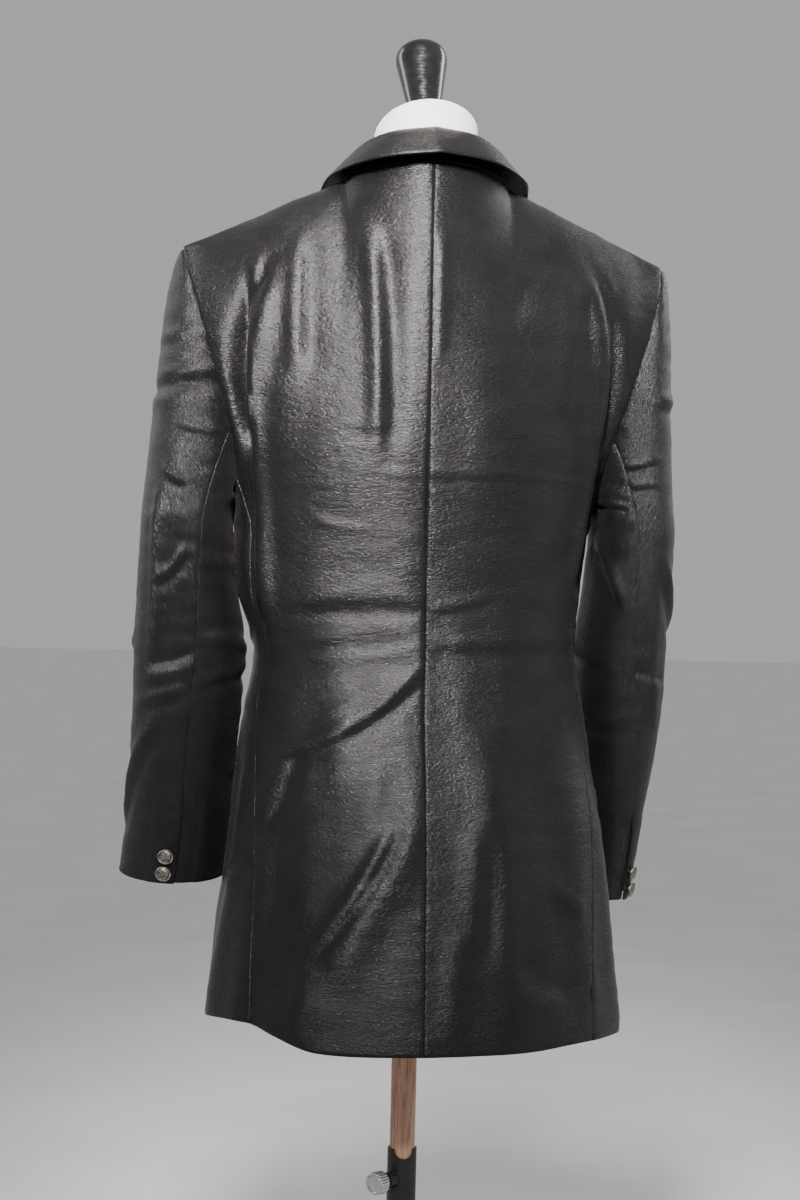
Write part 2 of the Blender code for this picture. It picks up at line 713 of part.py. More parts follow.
def make_buttons():
    """Cuff and front buttons, each domed over a short foot."""
    for side in ("left", "right"):
        rows = SLEEVES[side]["rows"]
        drop = rows[-1][0] - SLEEVES["left"]["rows"][-1][0]
        for number, height in enumerate(CUFF_BUTTON_HEIGHTS, 1):
            along = SLEEVE_SPLIT + (1.0 - SLEEVE_SPLIT) * (
                (rows[0][0] - height - drop) / (rows[0][0] - rows[-1][0]))
            place = sleeve_point(side, CUFF_BUTTON_TURN, along)
            axis = sleeve_point(side, CUFF_BUTTON_TURN + 180.0, along)
            out = normal_of(lambda a, b: sleeve_point(side, a * 360.0, b),
                            CUFF_BUTTON_TURN / 360.0, along)
            out = out if out.dot(place - axis) > 0 else -out
            button = turned(f"cuff_button_{side}_{number}", button_profile(CUFF_BUTTON_RADIUS),
                            CUFF_BUTTON_SIDES, "pewter")
            seat(button, place + out * (CLOTH + SEAM_GAP), out)
    for number, height in enumerate(FRONT_BUTTON_HEIGHTS, 1):
        skin = front_layer("right")
        hem = read(HEM, "right", 150.0)
        along = LOWER_SHARE * (height - hem) / (JOIN_HEIGHT - hem)
        place = skin(FRONT_BUTTON_SHARE, along)
        out = normal_of(skin, FRONT_BUTTON_SHARE, along)
        out = out if out.y < 0 else -out
        button = turned(f"front_button_{number}", button_profile(FRONT_BUTTON_RADIUS),
                        FRONT_BUTTON_SIDES, "pewter")
        seat(button, place + out * (CLOTH + SEAM_GAP), out)


def button_profile(radius):
    """Profile of a button on a shank: a short foot under a rounded disc."""
    foot = radius * 0.35
    top = BUTTON_THICK
    return ((0.0, 0.0), (foot, 0.0), (foot, top * 0.35), (radius * 0.92, top * 0.40),
            (radius, top * 0.58), (radius * 0.94, top * 0.80), (radius * 0.78, top * 0.92),
            (radius * 0.70, top * 0.84), (0.0, top))


def form_ring(height, segments):
    """Points of one of the form's rings."""
    half, back, front = (read(FORM, name, height) for name in ("half", "back", "front"))
    power = 2.0 / read(FORM, "square", height)
    middle = read(FORM, "y", height)
    ring = []
    for step in range(segments):
        angle = 2.0 * math.pi * step / segments
        lean = math.cos(angle)
        depth = back if lean >= 0 else front
        ring.append(Vector((half * signed_power(math.sin(angle), power),
                            middle + depth * signed_power(lean, power), height)))
    return ring


def slanted_plane():
    """Point and normal of the neck's slanted top."""
    return (Vector((0.0, 0.0, NECK_TOP_HEIGHT)),
            Vector((0.0, -math.sin(NECK_TOP_SLANT), math.cos(NECK_TOP_SLANT))))


def make_form():
    """The form's torso and neck, lofted through its rings and cut at a slant on top."""
    segments = FORM_SEGMENTS
    mesh = bmesh.new()
    heights = [row[0] for row in FORM["rows"]]
    loops = []
    for height in heights:
        verts = [mesh.verts.new(place) for place in form_ring(height, segments)]
        edges = [mesh.edges.new((verts[i], verts[(i + 1) % segments])) for i in range(segments)]
        loops.append(edges)
    for first, second in zip(loops, loops[1:]):
        bmesh.ops.bridge_loops(mesh, edges=first + second)
    point, normal = slanted_plane()
    bmesh.ops.bisect_plane(mesh, geom=list(mesh.verts) + list(mesh.edges) + list(mesh.faces),
                           plane_co=point, plane_no=normal, clear_outer=True)
    bmesh.ops.holes_fill(mesh, edges=[edge for edge in mesh.edges if edge.is_boundary])
    bmesh.ops.recalc_face_normals(mesh, faces=list(mesh.faces))
    torso = put("form_torso", mesh, "jersey")
    drill(torso, POLE_RADIUS + SLIDE_GAP, heights[0] - CUTTER_EXTRA, heights[0] + POLE_SOCKET)
    plate = turned("neck_plate", rounded_disc(PLATE_RADIUS, PLATE_THICK, PLATE_ROUND), PLATE_SIDES,
                   "lacquer")
    seat(plate, point + normal * SEAM_GAP, normal)
    profile = [(radius, height * KNOB_STRETCH) for radius, height in KNOB_PROFILE]
    knob = turned("neck_knob", profile, KNOB_SIDES, "lacquer")
    seat(knob, point + normal * (PLATE_THICK + 2 * SEAM_GAP), normal)


def drill(thing, radius, low, high):
    """Cut an upright bore in a piece."""
    mesh = bmesh.new()
    middle = Matrix.Translation((0, 0, (low + high) / 2))
    bmesh.ops.create_cone(mesh, cap_ends=True, segments=TUBE_SIDES, radius1=radius,
                          radius2=radius, depth=high - low, matrix=middle)
    cut_with(thing, mesh, f"{thing.name} bore")


def cut_with(thing, mesh, name, operation="DIFFERENCE"):
    """Give a piece a Boolean with a second shape made of a bmesh."""
    data = bpy.data.meshes.new(name)
    mesh.to_mesh(data)
    mesh.free()
    cutter = bpy.data.objects.new(name, data)
    CUTTERS.objects.link(cutter)
    cutter.display_type = "WIRE"
    cutter.hide_render = True
    boolean = thing.modifiers.new(name, "BOOLEAN")
    boolean.operation = operation
    boolean.object = cutter
    boolean.solver = "EXACT"


def rod(radius, length, start, direction, segments=24):
    """A cylinder in a bmesh from a start point along a direction."""
    mesh = bmesh.new()
    spin = direction.to_track_quat("Z", "Y").to_matrix().to_4x4()
    place = Matrix.Translation(start + direction * (length / 2)) @ spin
    bmesh.ops.create_cone(mesh, cap_ends=True, segments=segments, radius1=radius,
                          radius2=radius, depth=length, matrix=place)
    return mesh


def make_stand():
    """The pole, the tube that holds it, its clamp screw and the round base."""
    edge = POLE_EDGE
    pole_top = FORM["rows"][0][0] + POLE_SOCKET - edge
    turned("pole", ((0.0, POLE_BOTTOM), (POLE_RADIUS - edge, POLE_BOTTOM),
                    (POLE_RADIUS, POLE_BOTTOM + edge), (POLE_RADIUS, pole_top - edge),
                    (POLE_RADIUS - edge, pole_top), (0.0, pole_top)), POLE_SIDES, "wood")
    foot = BASE_THICK + SEAM_GAP
    tube = put("stand_tube", rod(TUBE_OUTER, TUBE_TOP - foot, Vector((0, 0, foot)),
                                 Vector((0, 0, 1)), TUBE_SIDES), "black metal")
    out = Vector((math.cos(SCREW_TURN), math.sin(SCREW_TURN), 0.0))
    centre = Vector((0.0, 0.0, SCREW_HEIGHT))
    cut_with(tube, rod(BOSS_RADIUS, BOSS_LENGTH, centre, out), "tube boss", "UNION")
    drill(tube, TUBE_INNER, foot + TUBE_FLOOR, TUBE_TOP + CUTTER_EXTRA)
    hole = rod(SCREW_RADIUS + SEAM_GAP, BOSS_LENGTH + CUTTER_EXTRA, centre, out)
    cut_with(tube, hole, "screw hole")
    notch = rod(NOTCH_RADIUS, 2 * TUBE_OUTER, Vector((0.0, 0.0, TUBE_TOP)), Vector((0, 1, 0)))
    cut_with(tube, notch, "tube notch")
    make_screw(centre, out)
    turned("stand_base", rounded_disc(BASE_RADIUS, BASE_THICK, BASE_ROUND), BASE_SIDES,
           "black metal")


def make_screw(centre, out):
    """The clamp screw: a shaft with a fluted round knob, its origin on its own axis."""
    mesh = bmesh.new()
    made = bmesh.ops.create_circle(mesh, cap_ends=True, segments=SCREW_SIDES,
                                   radius=SCREW_KNOB_RADIUS)
    for index, vert in enumerate(made["verts"]):
        if index % 2:
            vert.co *= SCREW_FLUTE
    raised = bmesh.ops.extrude_face_region(mesh, geom=list(mesh.faces))
    top = [item for item in raised["geom"] if isinstance(item, bmesh.types.BMVert)]
    bmesh.ops.translate(mesh, verts=top, vec=(0, 0, SCREW_KNOB_LENGTH))
    bmesh.ops.translate(mesh, verts=list(mesh.verts), vec=(0, 0, SCREW_KNOB_START))
    bmesh.ops.recalc_face_normals(mesh, faces=list(mesh.faces))
    screw = put("clamp_screw", mesh, "chrome")
    seat(screw, centre, out)
    tip = POLE_RADIUS + SEAM_GAP
    start = centre + out * tip
    shaft = rod(SCREW_RADIUS, SCREW_KNOB_START - tip + SCREW_KNOB_LENGTH / 3, start, out)
    cut_with(screw, shaft, "screw shaft", "UNION")


clear_objects()
PART = make_collection("Blazer on dress form")
CUTTERS = make_collection("Cutters")
make_body()
make_sleeves()
for lapel_side in ("left", "right"):
    lapel_wall(lapel_side)
make_collar()
make_buttons()
make_form()
make_stand()
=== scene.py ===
"""A long black blazer on a limbless dress form with a pole stand, seen from behind.

Metres, +Z up. The garment's front faces -Y and the wearer's left is +X.
"""

import math

import bmesh
import bpy
from mathutils import Matrix, Vector, noise


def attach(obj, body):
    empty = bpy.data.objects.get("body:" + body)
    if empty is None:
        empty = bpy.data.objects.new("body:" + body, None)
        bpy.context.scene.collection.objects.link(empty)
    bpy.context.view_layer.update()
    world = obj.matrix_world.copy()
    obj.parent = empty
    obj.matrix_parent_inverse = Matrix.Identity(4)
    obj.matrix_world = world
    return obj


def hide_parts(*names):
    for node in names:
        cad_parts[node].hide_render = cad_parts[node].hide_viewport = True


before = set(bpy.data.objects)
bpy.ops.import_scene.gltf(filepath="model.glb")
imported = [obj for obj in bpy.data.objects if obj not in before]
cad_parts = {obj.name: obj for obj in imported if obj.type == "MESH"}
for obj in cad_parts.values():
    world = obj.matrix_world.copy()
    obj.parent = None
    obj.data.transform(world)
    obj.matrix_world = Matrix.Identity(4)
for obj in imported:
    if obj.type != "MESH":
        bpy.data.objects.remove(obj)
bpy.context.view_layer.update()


# The round base: a 12 mm steel plate with a rolled rim, sprayed with black satin paint. It lies flat
# on the floor and carries the tube.

def linear(code):
    """Linear colour of an sRGB hex value."""
    parts = [int(code[place:place + 2], 16) / 255 for place in (1, 3, 5)]
    return [part / 12.92 if part <= 0.04045 else ((part + 0.055) / 1.055) ** 2.4
            for part in parts] + [1.0]


def add(tree, kind, inputs=None, into=None, **settings):
    """Add a node with its settings; an input is a value, or the socket that it comes from.

    into is a socket that the node's first output feeds.
    """
    node = tree.nodes.new(kind)
    for name, value in settings.items():
        setattr(node, name, value)
    for name, value in (inputs or {}).items():
        if isinstance(value, bpy.types.NodeSocket):
            tree.links.new(value, node.inputs[name])
        else:
            node.inputs[name].default_value = value
    if into is not None:
        tree.links.new(node.outputs[0], into)
    return node


def start_material(name, **values):
    """A material with its shader's own sockets set: the material, its tree and those sockets."""
    material = bpy.data.materials.new(name)
    material.use_nodes = True
    tree = material.node_tree
    shader = tree.nodes["Principled BSDF"].inputs
    for socket, value in values.items():
        shader[socket.replace("_", " ")].default_value = value
    return material, tree, shader


def toned(tree, factor, base, stops):
    """Feed the base colour with hex values that lie at stops of a factor."""
    ramp = add(tree, "ShaderNodeValToRGB", {"Fac": factor}, base).color_ramp
    for _ in stops[2:]:
        ramp.elements.new(1.0)
    for stop, (position, code) in zip(ramp.elements, stops):
        stop.position = position
        stop.color = linear(code)


def mottled(tree, shader, scale, dark, light, detail=3.0):
    """Let the colour wander between two hex values, at so many waves a metre, and give the place."""
    place = add(tree, "ShaderNodeTexCoord").outputs["Object"]
    cloud = add(tree, "ShaderNodeTexNoise", {"Vector": place, "Scale": scale, "Detail": detail})
    toned(tree, cloud.outputs["Fac"], shader["Base Color"], ((0.32, dark), (0.68, light)))
    return place


def satin_paint():
    """Spray paint on steel: nearly black, half gloss, with a faint orange-peel skin."""
    material, tree, shader = start_material("sprayed satin paint on steel", Roughness=0.36)
    place = mottled(tree, shader, 60.0, "#141415", "#1c1c1e")
    peel = add(tree, "ShaderNodeTexNoise", {"Vector": place, "Scale": 1 / PEEL_WAVE, "Detail": 2.0})
    add(tree, "ShaderNodeBump", {"Height": peel.outputs["Fac"], "Distance": PEEL_HEIGHT},
        shader["Normal"])
    return material


def put(name, mesh, material, node=None, body="dressed_form", angle=math.radians(34)):
    """Make an object of a bmesh: smooth, on its body and the node it stands for."""
    data = bpy.data.meshes.new(name)
    mesh.to_mesh(data)
    mesh.free()
    data.shade_smooth()
    data.set_sharp_from_angle(angle=angle)
    data.materials.append(material)
    thing = bpy.data.objects.new(name, data)
    bpy.context.scene.collection.objects.link(thing)
    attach(thing, body)
    if node:
        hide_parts(node)
    return thing


def spun(profile, steps=96):
    """A bmesh turned about Z from a profile of (radius, height), closed at its poles."""
    mesh = bmesh.new()
    verts = [mesh.verts.new((radius, 0.0, height)) for radius, height in profile]
    edges = [mesh.edges.new(pair) for pair in zip(verts, verts[1:])]
    bmesh.ops.spin(mesh, geom=verts + edges, cent=(0, 0, 0), axis=(0, 0, 1), angle=2 * math.pi,
                   steps=steps, use_merge=True)
    bmesh.ops.remove_doubles(mesh, verts=list(mesh.verts), dist=0.000002)
    bmesh.ops.recalc_face_normals(mesh, faces=list(mesh.faces))
    return mesh


def arc(centre, radius, start, end, steps=6):
    """Points (across, up) of an arc between two angles in degrees."""
    points = []
    for step in range(steps + 1):
        angle = math.radians(start + (end - start) * step / steps)
        points.append((centre[0] + radius * math.cos(angle), centre[1] + radius * math.sin(angle)))
    return points


PEEL_WAVE = 0.0022
PEEL_HEIGHT = 0.00005
BASE_RADIUS = 0.190
BASE_THICK = 0.012
BASE_ROUND = 0.005
BASE_BURR = 0.0005
HUB_RADIUS = 0.024
PAINT = satin_paint()

base_profile = [(0.0, 0.0), (BASE_RADIUS - BASE_BURR, 0.0), (BASE_RADIUS, BASE_BURR)]
base_profile += arc((BASE_RADIUS - BASE_ROUND, BASE_THICK - BASE_ROUND), BASE_ROUND, 0, 90)
base_profile += [(HUB_RADIUS, BASE_THICK), (0.0, BASE_THICK)]
put("base_plate", spun(base_profile, 160), PAINT, "stand_base", "stand")


# The stand's tube: drawn steel, painted like the base, with a half-round notch cut in its rim and a
# welded boss that is bored for the clamp screw.

def facing(place, way):
    """The place and turn that stand a Z axis at a point, along a way."""
    return Matrix.Translation(place) @ way.to_track_quat("Z", "Y").to_matrix().to_4x4()


def rod(radius, start, end, segments=64):
    """A cylinder in a bmesh between two points."""
    mesh = bmesh.new()
    bmesh.ops.create_cone(mesh, cap_ends=True, segments=segments, radius1=radius, radius2=radius,
                          depth=(end - start).length, matrix=facing((start + end) / 2, end - start))
    return mesh


def carve(mesh, cutter, operation="DIFFERENCE"):
    """The bmesh with another one cut out of it or joined to it."""
    things = []
    for name, shape in (("carved", mesh), ("cutter", cutter)):
        data = bpy.data.meshes.new(name)
        shape.to_mesh(data)
        shape.free()
        things.append(bpy.data.objects.new(name, data))
        bpy.context.scene.collection.objects.link(things[-1])
    boolean = things[0].modifiers.new(operation, "BOOLEAN")
    boolean.operation = operation
    boolean.object = things[1]
    shown = things[0].evaluated_get(bpy.context.evaluated_depsgraph_get())
    result = bmesh.new()
    result.from_mesh(shown.data)
    for thing in things:
        data = thing.data
        bpy.data.objects.remove(thing)
        bpy.data.meshes.remove(data)
    return result


def on_screw(out):
    """A point on the clamp screw's axis, so far from the tube's."""
    return SCREW_CENTRE + SCREW_OUT * out


TUBE_FOOT = BASE_THICK + 0.0003
TUBE_FLOOR = TUBE_FOOT + 0.004
TUBE_TOP = 0.541
TUBE_OUTER = 0.0136
TUBE_INNER = 0.0122
LIP = 0.0004
NOTCH_RADIUS = 0.0085
NOTCH_REACH = 0.04
SCREW_TURN = math.radians(40.0)
SCREW_OUT = Vector((math.cos(SCREW_TURN), math.sin(SCREW_TURN), 0.0))
SCREW_CENTRE = Vector((0.0, 0.0, 0.513))
BOSS_RADIUS = 0.0075
BOSS_START, BOSS_LENGTH = TUBE_INNER * 1.04, 0.0215
BORE_START, BORE_END = 0.009, 0.030
SHAFT_RADIUS = 0.0035
SHAFT_CLEAR = 0.0003

tube_profile = [(0.0, TUBE_FOOT), (TUBE_OUTER, TUBE_FOOT)]
tube_profile += arc((TUBE_OUTER - LIP, TUBE_TOP - LIP), LIP, 0, 90, 3)
tube_profile += arc((TUBE_INNER + LIP, TUBE_TOP - LIP), LIP, 90, 180, 3)
tube_profile += [(TUBE_INNER, TUBE_FLOOR), (0.0, TUBE_FLOOR)]
boss = rod(BOSS_RADIUS, on_screw(BOSS_START), on_screw(BOSS_LENGTH))
bore = rod(SHAFT_RADIUS + SHAFT_CLEAR, on_screw(BORE_START), on_screw(BORE_END), 32)
notch = rod(NOTCH_RADIUS, Vector((0.0, 0.0, TUBE_TOP)), Vector((0.0, NOTCH_REACH, TUBE_TOP)))
tube_mesh = carve(carve(carve(spun(tube_profile), boss, "UNION"), bore), notch)
put("tube", tube_mesh, PAINT, "stand_tube", "stand")


# The clamp screw: a chromed steel thumb screw with a fluted head and a turned face, threaded
# through the boss against the pole.

def chrome():
    """Bright chrome plate: a mirror that fine polishing swirls make a little uneven."""
    material, tree, shader = start_material("polished chrome plate", Metallic=1.0, Roughness=0.12)
    place = mottled(tree, shader, 220.0, "#c4c4c6", "#dcdcdd")
    swirl = add(tree, "ShaderNodeTexNoise", {"Vector": place, "Scale": 900.0, "Detail": 4.0})
    add(tree, "ShaderNodeMapRange", {"Value": swirl.outputs["Fac"], "To Min": 0.08, "To Max": 0.24},
        shader["Roughness"])
    return material


HEAD_RADIUS = 0.0105
HEAD_START = 0.0265
HEAD_LENGTH = 0.0120
HEAD_END = HEAD_START + HEAD_LENGTH
HEAD_BEVEL, HEAD_ROUND = 0.0012, 0.0014
FACE_RADIUS, PIP_RADIUS, FACE_DEPTH, PIP_DEPTH = 0.0074, 0.0026, 0.0007, 0.0003
FLUTES = 24
FLUTE_DEPTH = 0.0006
THREAD_PITCH = 0.0011
THREAD_DEPTH = 0.0003
SHAFT_START = 0.0121
SHAFT_END = HEAD_START + 0.001
SHAFT_BEVEL = 0.0008
LEAD = 0.0004
CHROME = chrome()

head_round = [(0.0, HEAD_START), (HEAD_RADIUS - HEAD_BEVEL, HEAD_START),
              (HEAD_RADIUS, HEAD_START + HEAD_BEVEL)]
head_round += [(HEAD_RADIUS, HEAD_START + HEAD_LENGTH * share) for share in (0.3, 0.5, 0.7)]
head_round += arc((HEAD_RADIUS - HEAD_ROUND, HEAD_END - HEAD_ROUND), HEAD_ROUND, 0, 90, 4)
head_round += [(FACE_RADIUS + 0.0004, HEAD_END), (FACE_RADIUS, HEAD_END - FACE_DEPTH),
               (PIP_RADIUS, HEAD_END - FACE_DEPTH), (0.0, HEAD_END - PIP_DEPTH)]
head = spun(head_round, FLUTES * 6)
for vert in head.verts:
    if math.hypot(vert.co.x, vert.co.y) > HEAD_RADIUS - 0.0013:
        wave = 0.5 + 0.5 * math.cos(FLUTES * math.atan2(vert.co.y, vert.co.x))
        scale = 1.0 - FLUTE_DEPTH / HEAD_RADIUS * wave ** 2
        vert.co.x *= scale
        vert.co.y *= scale
shaft_profile = [(0.0, SHAFT_START), (SHAFT_RADIUS - SHAFT_BEVEL, SHAFT_START)]
for turn in range(int((HEAD_START - SHAFT_START) / THREAD_PITCH)):
    low = SHAFT_START + LEAD + turn * THREAD_PITCH
    shaft_profile += [(SHAFT_RADIUS - THREAD_DEPTH, low), (SHAFT_RADIUS, low + THREAD_PITCH / 2)]
shaft_profile += [(SHAFT_RADIUS - THREAD_DEPTH, SHAFT_END), (0.0, SHAFT_END)]
screw_mesh = carve(head, spun(shaft_profile, 48), "UNION")
bmesh.ops.transform(screw_mesh, verts=list(screw_mesh.verts), matrix=facing(SCREW_CENTRE, SCREW_OUT))
put("thumb_screw", screw_mesh, CHROME, "clamp_screw", "clamp_screw")


# The pole: a turned beech rod under clear varnish, with open pores along the grain. It slides in the
# tube and plugs into the form.

def varnished_beech():
    """Beech under varnish: pinkish beige, darker streaks and flecks drawn out along the pole."""
    material, tree, shader = start_material("varnished beech", Coat_Weight=0.5, Coat_Roughness=0.16)
    place = add(tree, "ShaderNodeTexCoord").outputs["Object"]
    grain = add(tree, "ShaderNodeMapping", {
        "Vector": place, "Scale": (1 / GRAIN_WIDE, 1 / GRAIN_WIDE, 1 / GRAIN_LONG)})
    lines = add(tree, "ShaderNodeTexNoise", {"Vector": grain.outputs["Vector"], "Scale": 1.0,
                                             "Detail": 5.0, "Roughness": 0.6, "Distortion": 0.4})
    toned(tree, lines.outputs["Fac"], shader["Base Color"],
          ((0.34, "#7d5540"), (0.47, "#b4876b"), (0.60, "#c79a7c"), (1.0, "#cda587")))
    add(tree, "ShaderNodeMapRange", {"Value": lines.outputs["Fac"], "To Min": 0.30, "To Max": 0.50},
        shader["Roughness"])
    add(tree, "ShaderNodeBump", {"Height": lines.outputs["Fac"], "Distance": 0.0001}, shader["Normal"])
    return material


GRAIN_WIDE = 0.0028
GRAIN_LONG = 0.045
POLE_RADIUS = 0.0118
POLE_BOTTOM = 0.220
POLE_TOP = 0.779
POLE_EDGE = 0.001
pole_profile = [(0.0, POLE_BOTTOM)]
pole_profile += arc((POLE_RADIUS - POLE_EDGE, POLE_BOTTOM + POLE_EDGE), POLE_EDGE, -90, 0, 3)
pole_profile += arc((POLE_RADIUS - POLE_EDGE, POLE_TOP - POLE_EDGE), POLE_EDGE, 0, 90, 3)
pole_profile += [(0.0, POLE_TOP)]
put("beech_pole", spun(pole_profile, 64), varnished_beech(), "pole", "pole")


# The dress form: a hard shell pulled over with white cotton jersey, with a flat underside and a neck
# that is sawn off at a slant.

def chart(columns, *rows):
    """Sizes in rows under named columns, the first of which says where each row holds."""
    return {"columns": columns.split(), "rows": rows}


def read(sizes, name, at):
    """Value of a chart's column at a place along its first column, on a smooth curve."""
    rows = sizes["rows"]
    column = sizes["columns"].index(name)
    places = [row[0] for row in rows]
    values = [row[column] for row in rows]
    if places[0] > places[-1]:
        places.reverse()
        values.reverse()
    last = len(places) - 1
    at = min(max(at, places[0]), places[-1])
    cell = 0
    while cell < last - 1 and at > places[cell + 1]:
        cell += 1
    slopes = []
    for index in (cell, cell + 1):
        before, after = max(index - 1, 0), min(index + 1, last)
        slopes.append((values[after] - values[before]) / (places[after] - places[before]))
    span = places[cell + 1] - places[cell]
    part = (at - places[cell]) / span
    rise = values[cell + 1] - values[cell]
    bend_in, bend_out = slopes[0] * span - rise, rise - slopes[1] * span
    return (values[cell] + rise * part
            + part * (1.0 - part) * ((1.0 - part) * bend_in + part * bend_out))


def signed_power(value, power):
    """Power of a number that keeps its sign."""
    return math.copysign(abs(value) ** power, value)


def jersey():
    """White cotton jersey: matt, a little fuzzy, knitted in fine upright wales."""
    material, tree, shader = start_material("white cotton jersey", Roughness=0.92, Sheen_Weight=0.25,
                                            Sheen_Roughness=0.6)
    place = mottled(tree, shader, 26.0, "#e4e2dd", "#f3f1ed")
    knit = add(tree, "ShaderNodeMapping", {"Vector": place, "Scale": (1 / WALE, 1 / WALE, 1 / COURSE)})
    wales = add(tree, "ShaderNodeTexVoronoi", {"Vector": knit.outputs["Vector"], "Scale": 1.0},
                feature="SMOOTH_F1")
    add(tree, "ShaderNodeBump", {"Height": wales.outputs["Distance"], "Distance": STITCH_HEIGHT},
        shader["Normal"], invert=True)
    return material


# Knit stitches are about 0.7 mm; they are drawn twice as coarse so that they show
WALE = 0.0014
COURSE = 0.0018
STITCH_HEIGHT = 0.00012
FORM = chart(
    "height half back front square y",
    (0.720, 0.1520, 0.1060, 0.1060, 2.1, 0.000),
    (0.800, 0.1520, 0.1080, 0.1080, 2.1, 0.000),
    (0.880, 0.1440, 0.0990, 0.1030, 2.2, 0.000),
    (0.945, 0.1370, 0.0890, 0.0980, 2.3, 0.000),
    (1.000, 0.1310, 0.0830, 0.0950, 2.4, 0.000),
    (1.060, 0.1350, 0.0870, 0.1010, 2.4, 0.000),
    (1.120, 0.1430, 0.0960, 0.1090, 2.3, 0.000),
    (1.180, 0.1520, 0.1020, 0.1110, 2.3, 0.000),
    (1.250, 0.1600, 0.0990, 0.1000, 2.2, 0.002),
    (1.310, 0.1660, 0.0860, 0.0780, 2.1, 0.006),
    (1.350, 0.1700, 0.0680, 0.0540, 2.0, 0.010),
    (1.376, 0.1690, 0.0440, 0.0300, 2.0, 0.015),
    (1.388, 0.1640, 0.0320, 0.0200, 2.0, 0.0155),
    (1.406, 0.1260, 0.0300, 0.0180, 2.0, 0.0150),
    (1.423, 0.0835, 0.0330, 0.0120, 2.0, 0.0145),
    (1.436, 0.0550, 0.0430, 0.0340, 2.0, 0.005),
    (1.450, 0.0500, 0.0480, 0.0470, 2.0, 0.001),
    (1.470, 0.0485, 0.0485, 0.0485, 2.0, 0.000),
    (1.530, 0.0480, 0.0480, 0.0480, 2.0, 0.000))
FORM_SIDES = 120
NECK_TOP = Vector((0.0, 0.0, 1.482))
NECK_SLANT = math.radians(27.0)
NECK_OUT = Vector((0.0, -math.sin(NECK_SLANT), math.cos(NECK_SLANT)))
SOCKET_RADIUS = POLE_RADIUS + 0.0004
SOCKET_FOOT, SOCKET_TOP = 0.70, 0.780


def form_mesh():
    """The form, lofted through its rings, bored from below and sawn off at the neck."""
    mesh = bmesh.new()
    loops, heights, rows = [], [], FORM["rows"]
    for low, high in zip(rows, rows[1:]):
        heights += [low[0] + (high[0] - low[0]) * step / 3 for step in range(3)]
    for height in heights + [rows[-1][0]]:
        half, back, front = (read(FORM, name, height) for name in ("half", "back", "front"))
        power = 2.0 / read(FORM, "square", height)
        ring = bmesh.ops.create_circle(mesh, segments=FORM_SIDES, radius=1.0)["verts"]
        for vert in ring:
            depth = back if vert.co.y >= 0 else front
            vert.co = Vector((half * signed_power(vert.co.x, power),
                              read(FORM, "y", height) + depth * signed_power(vert.co.y, power), height))
        loops.append(list({edge for vert in ring for edge in vert.link_edges}))
    for first, second in zip(loops, loops[1:]):
        bmesh.ops.bridge_loops(mesh, edges=first + second)
    bmesh.ops.bisect_plane(mesh, geom=list(mesh.verts) + list(mesh.edges) + list(mesh.faces),
                           plane_co=NECK_TOP, plane_no=NECK_OUT, clear_outer=True)
    bmesh.ops.holes_fill(mesh, edges=[edge for edge in mesh.edges if edge.is_boundary])
    bmesh.ops.recalc_face_normals(mesh, faces=list(mesh.faces))
    socket = rod(SOCKET_RADIUS, Vector((0.0, 0.0, SOCKET_FOOT)), Vector((0.0, 0.0, SOCKET_TOP)))
    return carve(mesh, socket)


put("covered_form", form_mesh(), jersey(), "form_torso")


# The neck's top: a black lacquered wooden plate screwed to the slant, and on it a turned wooden knob
# in the same gloss lacquer, flared towards its domed top.

def gloss_lacquer():
    """Black piano lacquer on turned wood: a deep gloss with hairline scuffs."""
    material, tree, shader = start_material("black gloss lacquer", Roughness=0.24, Coat_Weight=0.4,
                                            Coat_Roughness=0.12)
    place = mottled(tree, shader, 40.0, "#0c0c0d", "#151515")
    scuff = add(tree, "ShaderNodeTexNoise", {"Vector": place, "Scale": 160.0, "Detail": 5.0})
    add(tree, "ShaderNodeMapRange", {"Value": scuff.outputs["Fac"], "From Min": 0.35,
                                     "From Max": 0.75, "To Min": 0.18, "To Max": 0.34},
        shader["Roughness"])
    rings = add(tree, "ShaderNodeTexWave", {"Vector": place, "Scale": 90.0, "Distortion": 1.0},
                bands_direction="Z")
    add(tree, "ShaderNodeBump", {"Height": rings.outputs["Fac"], "Distance": 0.00003}, shader["Normal"])
    return material


def smooth_profile(points, steps=5):
    """A profile drawn as a smooth curve through its points, each part split into steps."""
    curve = []
    for index in range(len(points) - 1):
        before, start = points[max(index - 1, 0)], points[index]
        end, after = points[index + 1], points[min(index + 2, len(points) - 1)]
        for step in range(steps):
            t = step / steps
            curve.append(tuple(
                0.5 * (2 * start[k] + (end[k] - before[k]) * t
                       + (2 * before[k] - 5 * start[k] + 4 * end[k] - after[k]) * t ** 2
                       + (3 * start[k] - before[k] - 3 * end[k] + after[k]) * t ** 3) for k in (0, 1)))
    return curve + [points[-1]]


LACQUER = gloss_lacquer()
PLATE_RADIUS = 0.0485
PLATE_THICK = 0.003
PLATE_ROUND = 0.0012
JOINT_GAP = 0.0003
KNOB_STRETCH = 1.06
KNOB_FOOT = [(0.0, 0.0), (0.0180, 0.0)]
KNOB_SIDE = [(0.0180, 0.0000), (0.0188, 0.0030), (0.0160, 0.0080), (0.0148, 0.0160),
             (0.0157, 0.0280), (0.0180, 0.0420), (0.0204, 0.0560), (0.0225, 0.0680),
             (0.0240, 0.0765), (0.0244, 0.0815), (0.0235, 0.0865), (0.0203, 0.0905),
             (0.0145, 0.0929), (0.0000, 0.0935)]


def on_neck(mesh, lift):
    """Stand a bmesh that was turned about Z on the neck's slanted top."""
    bmesh.ops.transform(mesh, verts=list(mesh.verts),
                        matrix=facing(NECK_TOP + NECK_OUT * lift, NECK_OUT))
    return mesh


